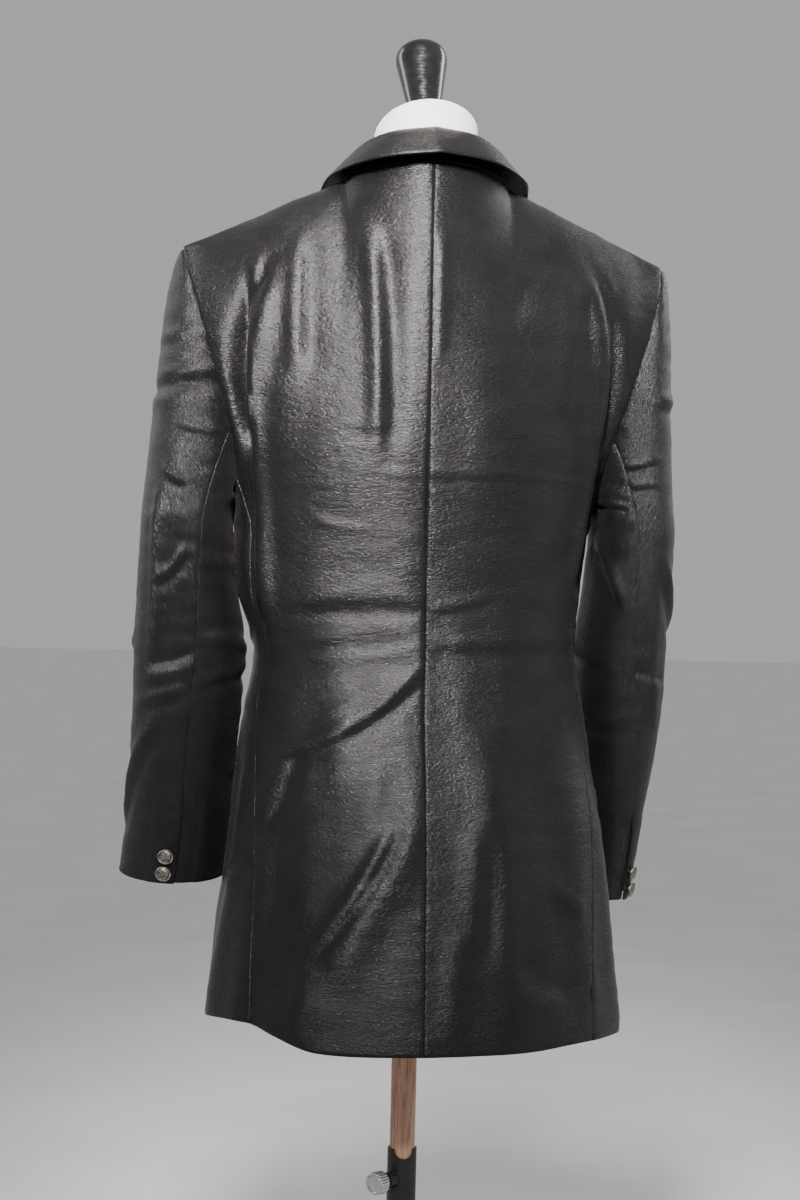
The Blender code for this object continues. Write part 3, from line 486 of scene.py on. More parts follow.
plate_profile = [(0.0, 0.0), (PLATE_RADIUS, 0.0)]
plate_profile += arc((PLATE_RADIUS - PLATE_ROUND, PLATE_THICK - PLATE_ROUND), PLATE_ROUND, 0, 90, 4)
plate_profile += [(0.0, PLATE_THICK)]
put("lacquered_plate", on_neck(spun(plate_profile, 128), JOINT_GAP), LACQUER,
    "neck_plate")
knob_profile = KNOB_FOOT + smooth_profile(KNOB_SIDE)[1:]
knob_profile = [(max(radius, 0.0), max(height, 0.0) * KNOB_STRETCH) for radius, height in knob_profile]
put("lacquered_knob", on_neck(spun(knob_profile, 128), PLATE_THICK + 2 * JOINT_GAP), LACQUER,
    "neck_knob")


# The cloth of the whole blazer: a black satin-faced viscose blend with a fine crinkle, cut in panels
# and seamed without topstitching. It shines in broken streaks where a fold turns to the light.

def crinkled_satin():
    """Crinkled black satin: a soft broken gloss from short crosswise ripples in a filament weave."""
    material, tree, shader = start_material(
        "crinkled black satin", Roughness=0.34, Specular_IOR_Level=0.30, Sheen_Weight=0.06,
        Sheen_Roughness=0.45, Sheen_Tint=linear("#b9b2b4"))
    cut = add(tree, "ShaderNodeUVMap", uv_map="cut").outputs["UV"]

    def waves(wide, long, turn=0.0, **values):
        """A noise on the cut whose waves are so many metres wide and long."""
        scaled = add(tree, "ShaderNodeMapping", {"Vector": cut, "Rotation": (0.0, 0.0, turn),
                                                 "Scale": (1 / wide, 1 / long, 1.0)})
        inputs = {"Vector": scaled.outputs["Vector"], "Scale": 1.0, **values}
        return add(tree, "ShaderNodeTexNoise", inputs).outputs["Fac"]

    toned(tree, waves(*CLOUD, Detail=4.0), shader["Base Color"],
          ((0.30, DARK_SATIN), (0.72, LIGHT_SATIN)))
    nubs = waves(*NUB, Detail=3.0, Roughness=0.62)
    ripples = waves(*RIPPLE, turn=0.05, Detail=4.0, Roughness=0.55, Distortion=0.6)
    breaks = waves(*BREAK, turn=-0.08, Detail=3.0, Roughness=0.5, Distortion=1.2)
    middle = add(tree, "ShaderNodeMath", {0: breaks, 1: 0.5}, operation="SUBTRACT")
    ridge = add(tree, "ShaderNodeMath", {0: middle.outputs["Value"]}, operation="ABSOLUTE")
    line = add(tree, "ShaderNodeMapRange", {"Value": ridge.outputs["Value"], "From Min": 0.0,
                                            "From Max": 0.035, "To Min": 1.0, "To Max": 0.0},
               interpolation_type="SMOOTHSTEP")
    patch = add(tree, "ShaderNodeMapRange", {"Value": waves(*PATCH, Detail=1.0), "From Min": 0.46,
                                             "From Max": 0.60})
    crease = add(tree, "ShaderNodeMath", {0: line.outputs["Result"], 1: patch.outputs["Result"]},
                 operation="MULTIPLY")
    normal = add(tree, "ShaderNodeBump", {"Height": nubs, "Distance": NUB_HEIGHT})
    normal = add(tree, "ShaderNodeBump", {"Height": ripples, "Distance": RIPPLE_HEIGHT,
                                          "Normal": normal.outputs["Normal"]})
    add(tree, "ShaderNodeBump", {"Height": crease.outputs["Value"], "Distance": BREAK_RAISE,
                                 "Normal": normal.outputs["Normal"]}, shader["Normal"])
    add(tree, "ShaderNodeMapRange", {"Value": nubs, "From Min": 0.30, "From Max": 0.70,
                                     "To Min": 0.22, "To Max": 0.40}, shader["Roughness"])
    return material


DARK_SATIN = "#0c0b0c"
LIGHT_SATIN = "#151314"
# The real threads are 0.2 mm apart; the nubs stand for bundles of them, so that they show
NUB, NUB_HEIGHT = (0.0034, 0.0014), 0.00085
RIPPLE, RIPPLE_HEIGHT = (0.014, 0.0055), 0.00070
BREAK, BREAK_RAISE = (0.036, 0.013), 0.00004
CLOUD, PATCH = (0.050, 0.034), (0.085, 0.050)
SATIN = crinkled_satin()


# How a panel is laid: its skin is worked out from the body's rings, then raised by its folds, its
# puckered seams and the small creases of wear. Each panel is cut flat and has its own map in metres.

CLOTH = 0.0016
CROWD = 0.55
SEAM_TRIM = 0.00012
SEAM_DIP, SEAM_REACH = 0.00045, 0.0018
PUCKER, PUCKER_REACH, PUCKERS_A_METRE = 0.0010, 0.013, 105.0
DRAG, DRAG_WIDE, DRAG_LONG = 0.0008, 0.052, 0.0125
SOFT, SOFT_WIDE, SOFT_LONG = 0.0014, 0.034, 0.120
PATCH_WIDE, PATCH_LONG = 0.11, 0.10
CREASE_END = 0.1
TROUGH, TROUGH_OFF, TROUGH_WIDE = 0.55, 1.7, 1.2


def crowded(part):
    """A share from 0 to 1, crowded towards both ends so that seams get narrower cells."""
    return part - CROWD * math.sin(2 * math.pi * part) / (2 * math.pi)


def share_of(part):
    """A number kept between 0 and 1."""
    return min(max(part, 0.0), 1.0)


def smooth(part):
    """A share eased at both ends."""
    part = share_of(part)
    return part * part * (3.0 - 2.0 * part)


def wander(x, y, z):
    """Noise from -1 to 1 at a place. It is the same in each run."""
    return noise.noise(Vector((x, y, z)))


def crease_rise(creases, place):
    """How far the creases raise a place (across, height): each is a ridge with a trough below it."""
    total = 0.0
    for across_a, height_a, across_b, height_b, bow, wide, rise in creases:
        run, drop = across_b - across_a, height_b - height_a
        length = math.hypot(run, drop)
        part = ((place[0] - across_a) * run + (place[1] - height_a) * drop) / length ** 2
        if not -CREASE_END < part < 1.0 + CREASE_END:
            continue
        off = ((place[0] - across_a) * drop - (place[1] - height_a) * run) / length
        off -= bow * 4 * part * (1 - part)
        if abs(off) > 4 * wide:
            continue
        ends = smooth((part + CREASE_END) / 0.3) * smooth((1.0 + CREASE_END - part) / 0.3)
        trough = math.exp(-((off - TROUGH_OFF * wide) / (TROUGH_WIDE * wide)) ** 2)
        total += rise * ends * (math.exp(-(off / wide) ** 2) - TROUGH * trough)
    return total


def worn_rise(place, seed, amount):
    """Small uneven creases: short level drags and longer upright softness."""
    across, height = place
    drag = wander(across / DRAG_WIDE, height / DRAG_LONG, seed)
    fine = wander(across / DRAG_WIDE * 2.1, height / DRAG_LONG * 2.2, seed + 7.0)
    patch = wander(across / PATCH_WIDE, height / PATCH_LONG, seed + 3.0)
    where = 0.35 + 0.65 * smooth(0.5 + 1.1 * patch)
    soft = wander(across / SOFT_WIDE, height / SOFT_LONG, seed + 11.0)
    return amount[0] * DRAG * (drag + 0.5 * fine) * where + amount[1] * SOFT * soft


def seam_rise(off, height, seed):
    """A seam's dip and the puckers beside it, at a distance from it."""
    if off > 4 * PUCKER_REACH:
        return 0.0
    ripple = wander(seed, height * PUCKERS_A_METRE, 0.0)
    deep = 0.45 + 0.9 * abs(wander(seed + 5.0, height * 9.0, 0.0))
    near = math.exp(-off / PUCKER_REACH) * smooth(off / 0.004)
    return PUCKER * deep * ripple * near - SEAM_DIP * math.exp(-(off / SEAM_REACH) ** 2)


def laid_panel(name, skin, cells, face, seams=(1, 1, 0, 1), creases=(), wear=(1.0, 1.0), seed=0.0,
               raised=None, quiet=None, thick=CLOTH):
    """A panel on its skin. face is 1 where across x along points out, and -1 where it points in.

    seams says which edges (across 0, across 1, along 0, along 1) are sewn. creases are rows in
    millimetres. raised adds to a place's height: it gets the place, its share across and along, and
    its distance across. quiet, given the place and its share across, says how much of the small
    creases stays.
    """
    wide, tall = cells
    creases = [[value / 1000 for value in crease] for crease in creases]
    mesh = bmesh.new()
    bmesh.ops.create_grid(mesh, x_segments=wide, y_segments=tall, size=0.5)
    spots = {}
    for vert in mesh.verts:
        spots[vert] = (round((vert.co.x + 0.5) * wide), round((vert.co.y + 0.5) * tall))
        vert.co = skin(crowded(spots[vert][0] / wide), spots[vert][1] / tall)
    at = {spot: vert for vert, spot in spots.items()}
    if face < 0:
        bmesh.ops.reverse_faces(mesh, faces=list(mesh.faces))
    mesh.normal_update()
    cut = {}
    for row in range(tall + 1):
        for column in range(wide + 1):
            here = at[column, row].co
            left, below = (column - 1, row), (column, row - 1)
            across = cut[left][0] + (here - at[left].co).length if column else 0.0
            up = cut[below][1] + (here - at[below].co).length if row else 0.0
            cut[column, row] = (across, up)
    area = sum(found.calc_area() for found in mesh.faces)
    moves = {}
    for (column, row), vert in at.items():
        here = vert.co
        across, up = cut[column, row]
        rise = worn_rise((across, here.z), seed, wear) + crease_rise(creases, (across, here.z))
        if quiet:
            rise *= quiet(here, crowded(column / wide))
        edges = ((across, here.z), (cut[wide, row][0] - across, here.z),
                 (up, across), (cut[column, tall][1] - up, across))
        for number, (off, run) in enumerate(edges):
            if seams[number]:
                rise += seam_rise(off, run, seed + number)
        if raised:
            rise += raised(here, crowded(column / wide), row / tall, across)
        moves[vert] = vert.normal * rise
    pulls = []
    for (column, row), vert in at.items():
        borders = ((column == 0, (1, row)), (column == wide, (wide - 1, row)),
                   (row == 0, (column, 1)), (row == tall, (column, tall - 1)))
        pulls += [(vert, (at[inner].co - vert.co).normalized() * SEAM_TRIM)
                  for sewn, (edge, inner) in zip(seams, borders) if sewn and edge]
    for vert, move in list(moves.items()) + pulls:
        vert.co += move
    layer = mesh.loops.layers.uv.new("cut")
    for found in mesh.faces:
        for loop in found.loops:
            loop[layer].uv = cut[spots[loop.vert]]
    thing = put(f"{name}_cloth", mesh, SATIN, name, angle=math.radians(70))
    solid = thing.modifiers.new("Thickness", "SOLIDIFY")
    solid.thickness = thick
    solid.offset = 1.0
    solid.use_even_offset = False
    return thing


# The body of the blazer: two backs joined at the centre-back seam, a side panel under each arm and two
# fronts, the right one lapped over the left and held by two buttons.

JOIN_HEIGHT = 1.165
BREAK_HEIGHT = 1.020
OVERLAP = 0.022
ROLL_SLOPE = 0.195
SIDE_FRONT_TURN = 116.0
SHOULDER_TIP = Vector((0.2225, 0.016, 1.366))
NECK_POINT, NECK_BACK = Vector((0.074, 0.014, 1.434)), Vector((0.000, 0.080, 1.443))
NECK_SHARE = 0.34
CENTRE_SHIFT = 0.009
TOP_SHIFT_SHARE = 0.4
LOWER_SHARE = 2.0 / 3.0
ARMHOLE_DROP = 0.010
SIGN = {"left": 1.0, "right": -1.0}

# The body's rings: half widths to each side, the middle line, depths, squareness and the share of
# the half width at which the side-back seam runs
BODY = chart(
    "height left right middle back front square seam",
    (0.640, 0.1880, 0.1970, 0.004, 0.141, 0.138, 2.10, 0.81),
    (0.735, 0.1770, 0.1870, 0.004, 0.133, 0.131, 2.12, 0.85),
    (0.800, 0.1680, 0.1800, 0.004, 0.126, 0.126, 2.18, 0.88),
    (0.883, 0.1600, 0.1670, 0.005, 0.115, 0.119, 2.30, 0.92),
    (0.945, 0.1550, 0.1580, 0.006, 0.105, 0.113, 2.40, 0.95),
    (1.000, 0.1480, 0.1480, 0.006, 0.099, 0.111, 2.50, 0.97),
    (1.055, 0.1610, 0.1510, 0.007, 0.102, 0.116, 2.50, 0.96),
    (1.120, 0.1660, 0.1590, 0.008, 0.110, 0.124, 2.45, 0.955),
    (1.165, 0.1750, 0.1680, 0.009, 0.116, 0.127, 2.40, 0.982))

# Height of the hem round each half, by turn from the centre back
HEM = chart(
    "turn left right",
    (0.0, 0.6525, 0.6525),
    (28.0, 0.6535, 0.6540),
    (42.0, 0.6640, 0.6560),
    (55.0, 0.6720, 0.6560),
    (90.0, 0.6670, 0.6545),
    (150.0, 0.6560, 0.6540),
    (180.0, 0.6540, 0.6540))

# Control points of the upper back, from the centre back (0) to the armhole (1)
UPPER_BACK = chart(
    "across low_x low_y low_z high_x high_y high_z",
    (0.00, 0.000, 0.124, 1.265, 0.000, 0.112, 1.378),
    (0.34, 0.074, 0.118, 1.255, 0.076, 0.086, 1.422),
    (0.68, 0.142, 0.098, 1.248, 0.151, 0.078, 1.384),
    (1.00, 0.184, 0.062, 1.235, 0.216, 0.058, 1.315))

# Control points of the upper front, from the armhole (0) to the roll line (1)
UPPER_FRONT = chart(
    "across low_x low_y low_z high_x high_y high_z",
    (0.00, 0.180, -0.066, 1.230, 0.205, -0.050, 1.325),
    (0.35, 0.146, -0.108, 1.245, 0.168, -0.066, 1.372),
    (0.70, 0.090, -0.126, 1.250, 0.112, -0.070, 1.400),
    (1.00, 0.026, -0.128, 1.255, 0.052, -0.072, 1.392))

# Long folds of the body: two ends as (turn, height), half width in degrees and height of the fold
FOLD_FADE = 0.045
BODY_FOLDS = {
    "left": (
        (56.0, 1.290, 60.0, 1.070, 4.0, 0.0060),
        (62.0, 1.280, 67.0, 1.070, 3.5, -0.0060),
        (3.0, 0.990, 30.0, 0.950, 7.0, 0.0030),
        (6.0, 0.840, 30.0, 0.700, 7.0, 0.0050),
        (46.0, 0.860, 50.0, 0.690, 7.0, -0.0045),
        (72.0, 0.840, 78.0, 0.690, 8.0, 0.0045),
        (128.0, 0.900, 140.0, 0.690, 9.0, 0.0040),
    ),
    "right": (
        (56.0, 1.290, 59.0, 1.120, 3.5, 0.0050),
        (61.5, 1.280, 65.0, 1.120, 3.5, -0.0045),
        (20.0, 0.880, 24.0, 0.690, 7.0, 0.0040),
        (38.0, 0.900, 46.0, 0.700, 7.0, -0.0040),
        (70.0, 0.840, 76.0, 0.680, 8.0, 0.0050),
        (128.0, 0.900, 138.0, 0.690, 9.0, 0.0040),
    ),
}


def bezier(start, low, high, end, along):
    """Point on a cubic curve."""
    back = 1.0 - along
    return (start * back ** 3 + low * (3 * back ** 2 * along)
            + high * (3 * back * along ** 2) + end * along ** 3)


def mirror_x(side, point, shift=0.0):
    """The point as it lies on the named side, moved towards the wearer's left by a shift."""
    return Vector((SIGN[side] * point.x + shift, point.y, point.z))


def half_reach(side, height):
    """From the body's middle line to one side."""
    return read(BODY, side, height) - SIGN[side] * read(BODY, "middle", height)


def ring_point(side, turn, height):
    """Point of the body's ring at a turn from the centre back (0) to the centre front (180)."""
    power = 2.0 / read(BODY, "square", height)
    lean = math.cos(math.radians(turn))
    depth = read(BODY, "back" if lean >= 0 else "front", height)
    across = SIGN[side] * half_reach(side, height) * signed_power(math.sin(math.radians(turn)), power)
    return Vector((read(BODY, "middle", height) + across, depth * signed_power(lean, power), height))


def side_back_turn(height):
    """Turn at which the side-back seam runs."""
    share = read(BODY, "seam", min(height, JOIN_HEIGHT))
    square = read(BODY, "square", min(height, JOIN_HEIGHT))
    return math.degrees(math.asin(share ** (square / 2.0)))


def front_edge_turn(side, height, laps):
    """Turn of the front's free edge, or of its roll line above the break."""
    edge = -laps if height <= BREAK_HEIGHT else -laps + (height - BREAK_HEIGHT) * ROLL_SLOPE
    square = read(BODY, "square", height)
    return 180.0 - math.degrees(math.asin(signed_power(edge / half_reach(side, height), square / 2.0)))


def fold_rise(side, turn, height):
    """How far the folds move the body's skin out at a place."""
    total = 0.0
    for turn_a, height_a, turn_b, height_b, spread, rise in BODY_FOLDS[side]:
        length = height_a - height_b
        part = (height_a - height) / length
        near = share_of(part)
        away = abs(part - near) * abs(length) / FOLD_FADE
        centre = turn_a + (turn_b - turn_a) * near
        total += rise * math.exp(-((turn - centre) / spread) ** 2 - away ** 2)
    return total


def back_top(across):
    """Top edge of the back: the neck edge, then the shoulder seam."""
    if across >= NECK_SHARE:
        return NECK_POINT.lerp(SHOULDER_TIP, (across - NECK_SHARE) / (1.0 - NECK_SHARE))
    turn = math.pi / 2 * across / NECK_SHARE
    reach = math.sin(turn)
    return Vector((
        NECK_BACK.x + (NECK_POINT.x - NECK_BACK.x) * reach,
        NECK_POINT.y + (NECK_BACK.y - NECK_POINT.y) * math.cos(turn),
        NECK_BACK.z + (NECK_POINT.z - NECK_BACK.z) * reach ** 2,
    ))


def controls(sizes, across):
    """The two inner control points of an upper column."""
    return [Vector([read(sizes, f"{end}_{axis}", across) for axis in "xyz"]) for end in ("low", "high")]


def lower_height(side, turn, part):
    """Height between the hem and the underarm level."""
    hem = read(HEM, side, turn)
    return hem + (JOIN_HEIGHT - hem) * part


def armhole_low_height(turn):
    """Height of the armhole's low arc above or below the underarm level."""
    back = side_back_turn(JOIN_HEIGHT)
    part = (turn - back) / (SIDE_FRONT_TURN - back)
    return JOIN_HEIGHT - ARMHOLE_DROP * math.sin(math.pi * share_of(part))


def back_point(side, across, along):
    """Back skin: across from the centre back (0) to the side-back seam and armhole (1)."""
    if along <= LOWER_SHARE:
        hem_turn = across * side_back_turn(BODY["rows"][0][0])
        height = lower_height(side, hem_turn, along / LOWER_SHARE)
        return ring_point(side, across * side_back_turn(height), height)
    start = ring_point(side, across * side_back_turn(JOIN_HEIGHT), JOIN_HEIGHT)
    low, high = controls(UPPER_BACK, across)
    shift = CENTRE_SHIFT * (1.0 - across)
    return bezier(start, mirror_x(side, low, shift), mirror_x(side, high, shift),
                  mirror_x(side, back_top(across), shift * TOP_SHIFT_SHARE),
                  (along - LOWER_SHARE) / (1.0 - LOWER_SHARE))


def side_point(side, across, along):
    """Side panel skin: across from the side-back seam (0) to the side-front seam (1)."""
    hem_turn = side_back_turn(BODY["rows"][0][0])
    hem_turn += across * (SIDE_FRONT_TURN - hem_turn)
    hem = read(HEM, side, hem_turn)
    top_turn = side_back_turn(JOIN_HEIGHT)
    top = armhole_low_height(top_turn + across * (SIDE_FRONT_TURN - top_turn))
    height = hem + (top - hem) * along
    back = side_back_turn(height)
    return ring_point(side, back + across * (SIDE_FRONT_TURN - back), height)


def front_point(side, across, along):
    """Front skin: across from the side-front seam and armhole (0) to the free edge (1)."""
    if along <= LOWER_SHARE:
        height = lower_height(side, SIDE_FRONT_TURN + across * (180.0 - SIDE_FRONT_TURN),
                              along / LOWER_SHARE)
        edge = front_edge_turn(side, height, OVERLAP)
        return ring_point(side, SIDE_FRONT_TURN + across * (edge - SIDE_FRONT_TURN), height)
    edge = front_edge_turn(side, JOIN_HEIGHT, OVERLAP)
    start = ring_point(side, SIDE_FRONT_TURN + across * (edge - SIDE_FRONT_TURN), JOIN_HEIGHT)
    low, high = controls(UPPER_FRONT, across)
    end = SHOULDER_TIP.lerp(NECK_POINT, across)
    shift = CENTRE_SHIFT * across
    return bezier(start, mirror_x(side, low, shift), mirror_x(side, high, shift),
                  mirror_x(side, end), (along - LOWER_SHARE) / (1.0 - LOWER_SHARE))


# The creases of each panel, in millimetres: two ends (across from its inner seam, height), the bow
# between them, half the width and how far it stands out
BACK_CREASES = {
    "left": (
        (156, 1180, 171, 1352, 2, 5, 5),
        (58, 1378, 45, 1180, 4, 8.5, 4.2),
        (128, 1372, 118, 1250, 0, 8, 3.2),
        (0, 991, 148, 909, 16, 5, 3.6),
        (113, 915, 156, 836, 4, 8, -3),
        (132, 849, 170, 822, 0, 4.5, 2.2),
        (28, 852, 98, 742, 4, 5.5, 3.4),
        (62, 776, 94, 738, 0, 4, -2),
        (128, 1033, 0, 1038, 3, 8.5, -2.2),
        (150, 1008, 70, 1019, -2, 4, 1.4),
        (112, 997, 2, 1008, -3, 4.5, 1.3),
        (75, 1195, 28, 1196, 0, 3, -1.4),
        (40, 1161, 0, 1161, 1, 3, 1.2),
        (100, 1120, 50, 1112, -2, 4, 1.1),
        (104, 735, 118, 662, 0, 12, 2.2),
        (40, 905, 50, 840, 0, 12, 1.4),
    ),
    "right": (
        (10, 1378, 8, 1262, 0, 6, 1.6),
        (4, 1043, 62, 1056, 2, 4.5, 1.5),
        (4, 1013, 168, 1020, 2, 6.5, 1.7),
        (98, 1056, 130, 1042, 0, 3.5, 1.4),
        (3, 1161, 160, 1158, -2, 2.8, 1.2),
        (62, 850, 58, 735, 0, 10, -2.6),
        (118, 1361, 67, 1290, 3, 11, -1.8),
        (158, 1345, 150, 1200, 0, 10, -2),
        (110, 980, 170, 968, 0, 4, 1.2),
        (125, 800, 165, 770, 2, 8, 2.2),
        (85, 735, 150, 700, 4, 11, -2),
        (30, 760, 24, 670, 0, 11, 1.4),
        (190, 1350, 186, 1285, 0, 3, 2.2),
    ),
}
SIDE_CREASES = {
    "left": (
        (0, 822, 50, 800, 2, 5, 2.2),
        (20, 1020, 85, 1010, 2, 5, 1.6),
        (60, 930, 95, 720, 4, 13, 3),
        (10, 1120, 75, 1128, 3, 6, 1.4),
    ),
    "right": (
        (10, 1008, 90, 1016, 2, 5, 1.6),
        (70, 920, 100, 715, -4, 13, 3),
        (15, 880, 60, 850, 2, 5, 1.6),
        (10, 1126, 70, 1118, 3, 6, 1.4),
    ),
}
FRONT_CREASES = {
    "left": (
        (20, 1022, 110, 1012, 3, 6, 1.8),
        (60, 930, 46, 720, 6, 13, 3),
        (30, 1300, 60, 1180, 4, 10, 2.6),
        (120, 985, 60, 955, 4, 7, 2),
    ),
    "right": (
        (20, 1014, 120, 1008, 2, 6, 1.8),
        (70, 925, 85, 715, 6, 13, 3),
        (34, 1300, 58, 1185, 4, 10, 2.6),
        (155, 1000, 80, 965, 4, 6, 2.2),
        (150, 900, 90, 880, 3, 6, 1.6),
    ),
}
# The hollow behind each arm: turn, half width and depth at its top and at its foot
HOLLOWS = {
    "left": ((59.0, 2.2, 0.0050), (62.5, 4.5, 0.0180)),
    "right": ((60.5, 1.8, 0.0030), (62.0, 3.6, 0.0090)),
}
HOLLOW_TOP, HOLLOW_FOOT, HOLLOW_EDGE = 1.345, 1.190, 0.09
ARM_FREE = 1.180
# The loose bag of cloth under the left arm
BAG_RISE, BAG_TURN, BAG_SPREAD = 0.0070, 84.0, 18.0
BAG_HEIGHT, BAG_LONG = 1.085, 0.042
# The right front lies over the left one from this share across, and up to this height
LAP_FROM, LAP_LIFT, LAP_TOP, LAP_FADE = 0.45, 0.0026, 1.175, 0.03
FOLD_DEPTH_SCALE = 1.4


def fold_raised(side, is_back=False):
    """The long folds that the panels of one side share, and the hollow behind the arm."""
    def raised(place, across_share, along, across):
        turn = math.degrees(math.atan2(abs(place.x), place.y * FOLD_DEPTH_SCALE))
        fall = share_of((HOLLOW_TOP - place.z) / (HOLLOW_TOP - HOLLOW_FOOT))
        at_turn, spread, deep = (high + (low - high) * fall for high, low in zip(*HOLLOWS[side]))
        deep *= smooth((place.z - JOIN_HEIGHT) / 0.04) * smooth((HOLLOW_TOP + 0.02 - place.z) / 0.03)
        rise = fold_rise(side, turn, place.z) - deep * math.exp(-((turn - at_turn) / spread) ** 2)
        if side == "left":
            rise += BAG_RISE * math.exp(-((turn - BAG_TURN) / BAG_SPREAD) ** 2
                                        - ((place.z - BAG_HEIGHT) / BAG_LONG) ** 2)
        free = smooth((ARM_FREE - place.z) / 0.02) if is_back else 1.0
        return rise * max(free, smooth((1.0 - across_share) / HOLLOW_EDGE))
    return raised


def front_layer(side):
    """A front's skin: the right one laps over the left one."""
    def skin(across, along):
        place = front_point(side, across, along)
        if side == "right":
            reach = smooth((across - LAP_FROM) / (1.0 - LAP_FROM))
            place.y -= LAP_LIFT * reach * share_of((LAP_TOP - place.z) / LAP_FADE)
        return place
    return skin


def under_lapel(place, across_share):
    """A front lies smooth where its lapel covers it."""
    return 1.0 - smooth((place.z - BREAK_HEIGHT) / 0.03) * smooth((across_share - 0.30) / 0.12)


for side in ("left", "right"):
    laid_panel(f"back_{side}", lambda a, b, side=side: back_point(side, a, b), (58, 190), -SIGN[side],
               seams=(1, 1, 0, 1), creases=BACK_CREASES[side], wear=(1.0, 1.0),
               seed=1.3 if side == "left" else 2.9, raised=fold_raised(side, True))
    laid_panel(f"side_{side}", lambda a, b, side=side: side_point(side, a, b), (34, 130), -SIGN[side],
               seams=(1, 1, 0, 1), creases=SIDE_CREASES[side], wear=(1.0, 0.8),
               seed=4.1 if side == "left" else 5.7, raised=fold_raised(side))
    laid_panel(f"front_{side}", front_layer(side), (50, 180), -SIGN[side], seams=(1, 0, 0, 1),
               creases=FRONT_CREASES[side], wear=(0.8, 0.6), seed=6.3 if side == "left" else 7.9,
               raised=fold_raised(side), quiet=under_lapel)


# The two-piece sleeves, a top and an under sleeve each, eased into the armhole with a little fullness
# at the head. Above the cuff the back seam opens as a lapped vent with two buttons.

# Sleeve rings: centre, half width across and half depth, turn of the ring and slant of its plane
SLEEVE_COLUMNS = "height x y wide deep turn slant"
SLEEVES = {
    "left": chart(
        SLEEVE_COLUMNS,
        (1.120, 0.2135, 0.004, 0.0405, 0.063, 0.0, 0.00),
        (1.060, 0.2118, 0.000, 0.0440, 0.058, 0.0, 0.02),
        (1.010, 0.2085, -0.005, 0.0495, 0.054, 0.0, 0.05),
        (0.950, 0.2090, -0.014, 0.0485, 0.050, 0.0, 0.10),
        (0.895, 0.2112, -0.026, 0.0475, 0.046, 0.0, 0.15),
        (0.840, 0.2125, -0.038, 0.0480, 0.043, 0.0, 0.19),
        (0.793, 0.2165, -0.050, 0.0490, 0.041, 0.0, 0.21)),
    "right": chart(
        SLEEVE_COLUMNS,
        (1.120, 0.2040, 0.004, 0.0370, 0.063, 0.0, 0.00),
        (1.060, 0.2020, -0.006, 0.0385, 0.059, 2.0, 0.05),
        (1.010, 0.2000, -0.020, 0.0410, 0.055, 5.0, 0.10),
        (0.950, 0.2020, -0.037, 0.0400, 0.051, 10.0, 0.16),
        (0.895, 0.2000, -0.056, 0.0365, 0.050, 18.0, 0.19),
        (0.840, 0.1960, -0.077, 0.0305, 0.051, 26.0, 0.21),
        (0.775, 0.1880, -0.098, 0.0260, 0.053, 32.0, 0.21)),
}
SLEEVE_SPLIT = 0.42
BACK_SEAM_TURNS = chart(
    "along turn",
    (0.0, 62.0), (0.42, 76.0), (0.62, 86.0), (0.75, 90.0), (1.0, 91.0))
FRONT_SEAM_TURN = 303.0
LOW_ARC_TURN = 38.0

# How far the sleeve's head stands off the armhole (it is sewn in, so it dips under the edge), and
# its swell
HEAD_CLEAR = -0.0006
CAP_REACH, CAP_SWELL, CAP_PULL = 0.0155, 0.012, 0.010

def sleeve_ring(side, turn, height):
    """Point of a sleeve's ring: turn 0 faces the body, 90 the back, 180 out and 270 the front."""
    table = SLEEVES[side]
    wide, deep = read(table, "wide", height), read(table, "deep", height)
    angle = math.radians(turn)
    inward = -wide * math.cos(angle)
    back = deep * math.sin(angle)
    swing = math.radians(read(table, "turn", height))
    x = read(table, "x", height) + inward * math.cos(swing) + back * math.sin(swing)
    y = read(table, "y", height) - inward * math.sin(swing) + back * math.cos(swing)
    slant = read(table, "slant", height) * (y - read(table, "y", height))
    return mirror_x(side, Vector((x, y, height - slant)))


def armhole_point(side, turn):
    """Point of the armhole where the sleeve is sewn in, for a turn of the sleeve."""
    turn = (turn + 180.0) % 360.0 - 180.0
    if abs(turn) <= LOW_ARC_TURN:
        across = (LOW_ARC_TURN - turn) / (2 * LOW_ARC_TURN)
        place = side_point(side, across, 1.0)
    else:
        part = (abs(turn) - LOW_ARC_TURN) / (180.0 - LOW_ARC_TURN)
        along = LOWER_SHARE + (1.0 - LOWER_SHARE) * part
        skin, across = (back_point, 1.0) if turn > 0 else (front_point, 0.0)
        place = skin(side, across, along)
    return place + Vector((SIGN[side] * HEAD_CLEAR, 0.0, 0.0))


def sleeve_point(side, turn, along):
    """Sleeve skin from the armhole (0) to the cuff (1)."""
    rows = SLEEVES[side]["rows"]
    top, bottom = rows[0][0], rows[-1][0]
    if along > SLEEVE_SPLIT:
        part = (along - SLEEVE_SPLIT) / (1.0 - SLEEVE_SPLIT)
        return sleeve_ring(side, turn, top + (bottom - top) * part)
    start = armhole_point(side, turn)
    end = sleeve_ring(side, turn, top)
    outward = 0.5 - 0.5 * math.cos(math.radians(turn))
    backward = math.sin(math.radians(turn))
    drop = start.z - end.z
    low = start + Vector((SIGN[side] * CAP_REACH * outward, CAP_SWELL * backward,
                          -drop * 0.33 * (1.0 - outward * 0.95)))
    high = end + Vector((-SIGN[side] * CAP_PULL * outward, 0.0, drop * (0.33 + 0.08 * outward)))
    return bezier(start, low, high, end, along / SLEEVE_SPLIT)


def sleeve_skin(side, is_top):
    """Skin of the top or under sleeve, across between its two seams."""
    def skin(across, along):
        back = read(BACK_SEAM_TURNS, "turn", along)
        start, end = (back, FRONT_SEAM_TURN) if is_top else (FRONT_SEAM_TURN - 360.0, back)
        return sleeve_point(side, start + across * (end - start), along)
    return skin


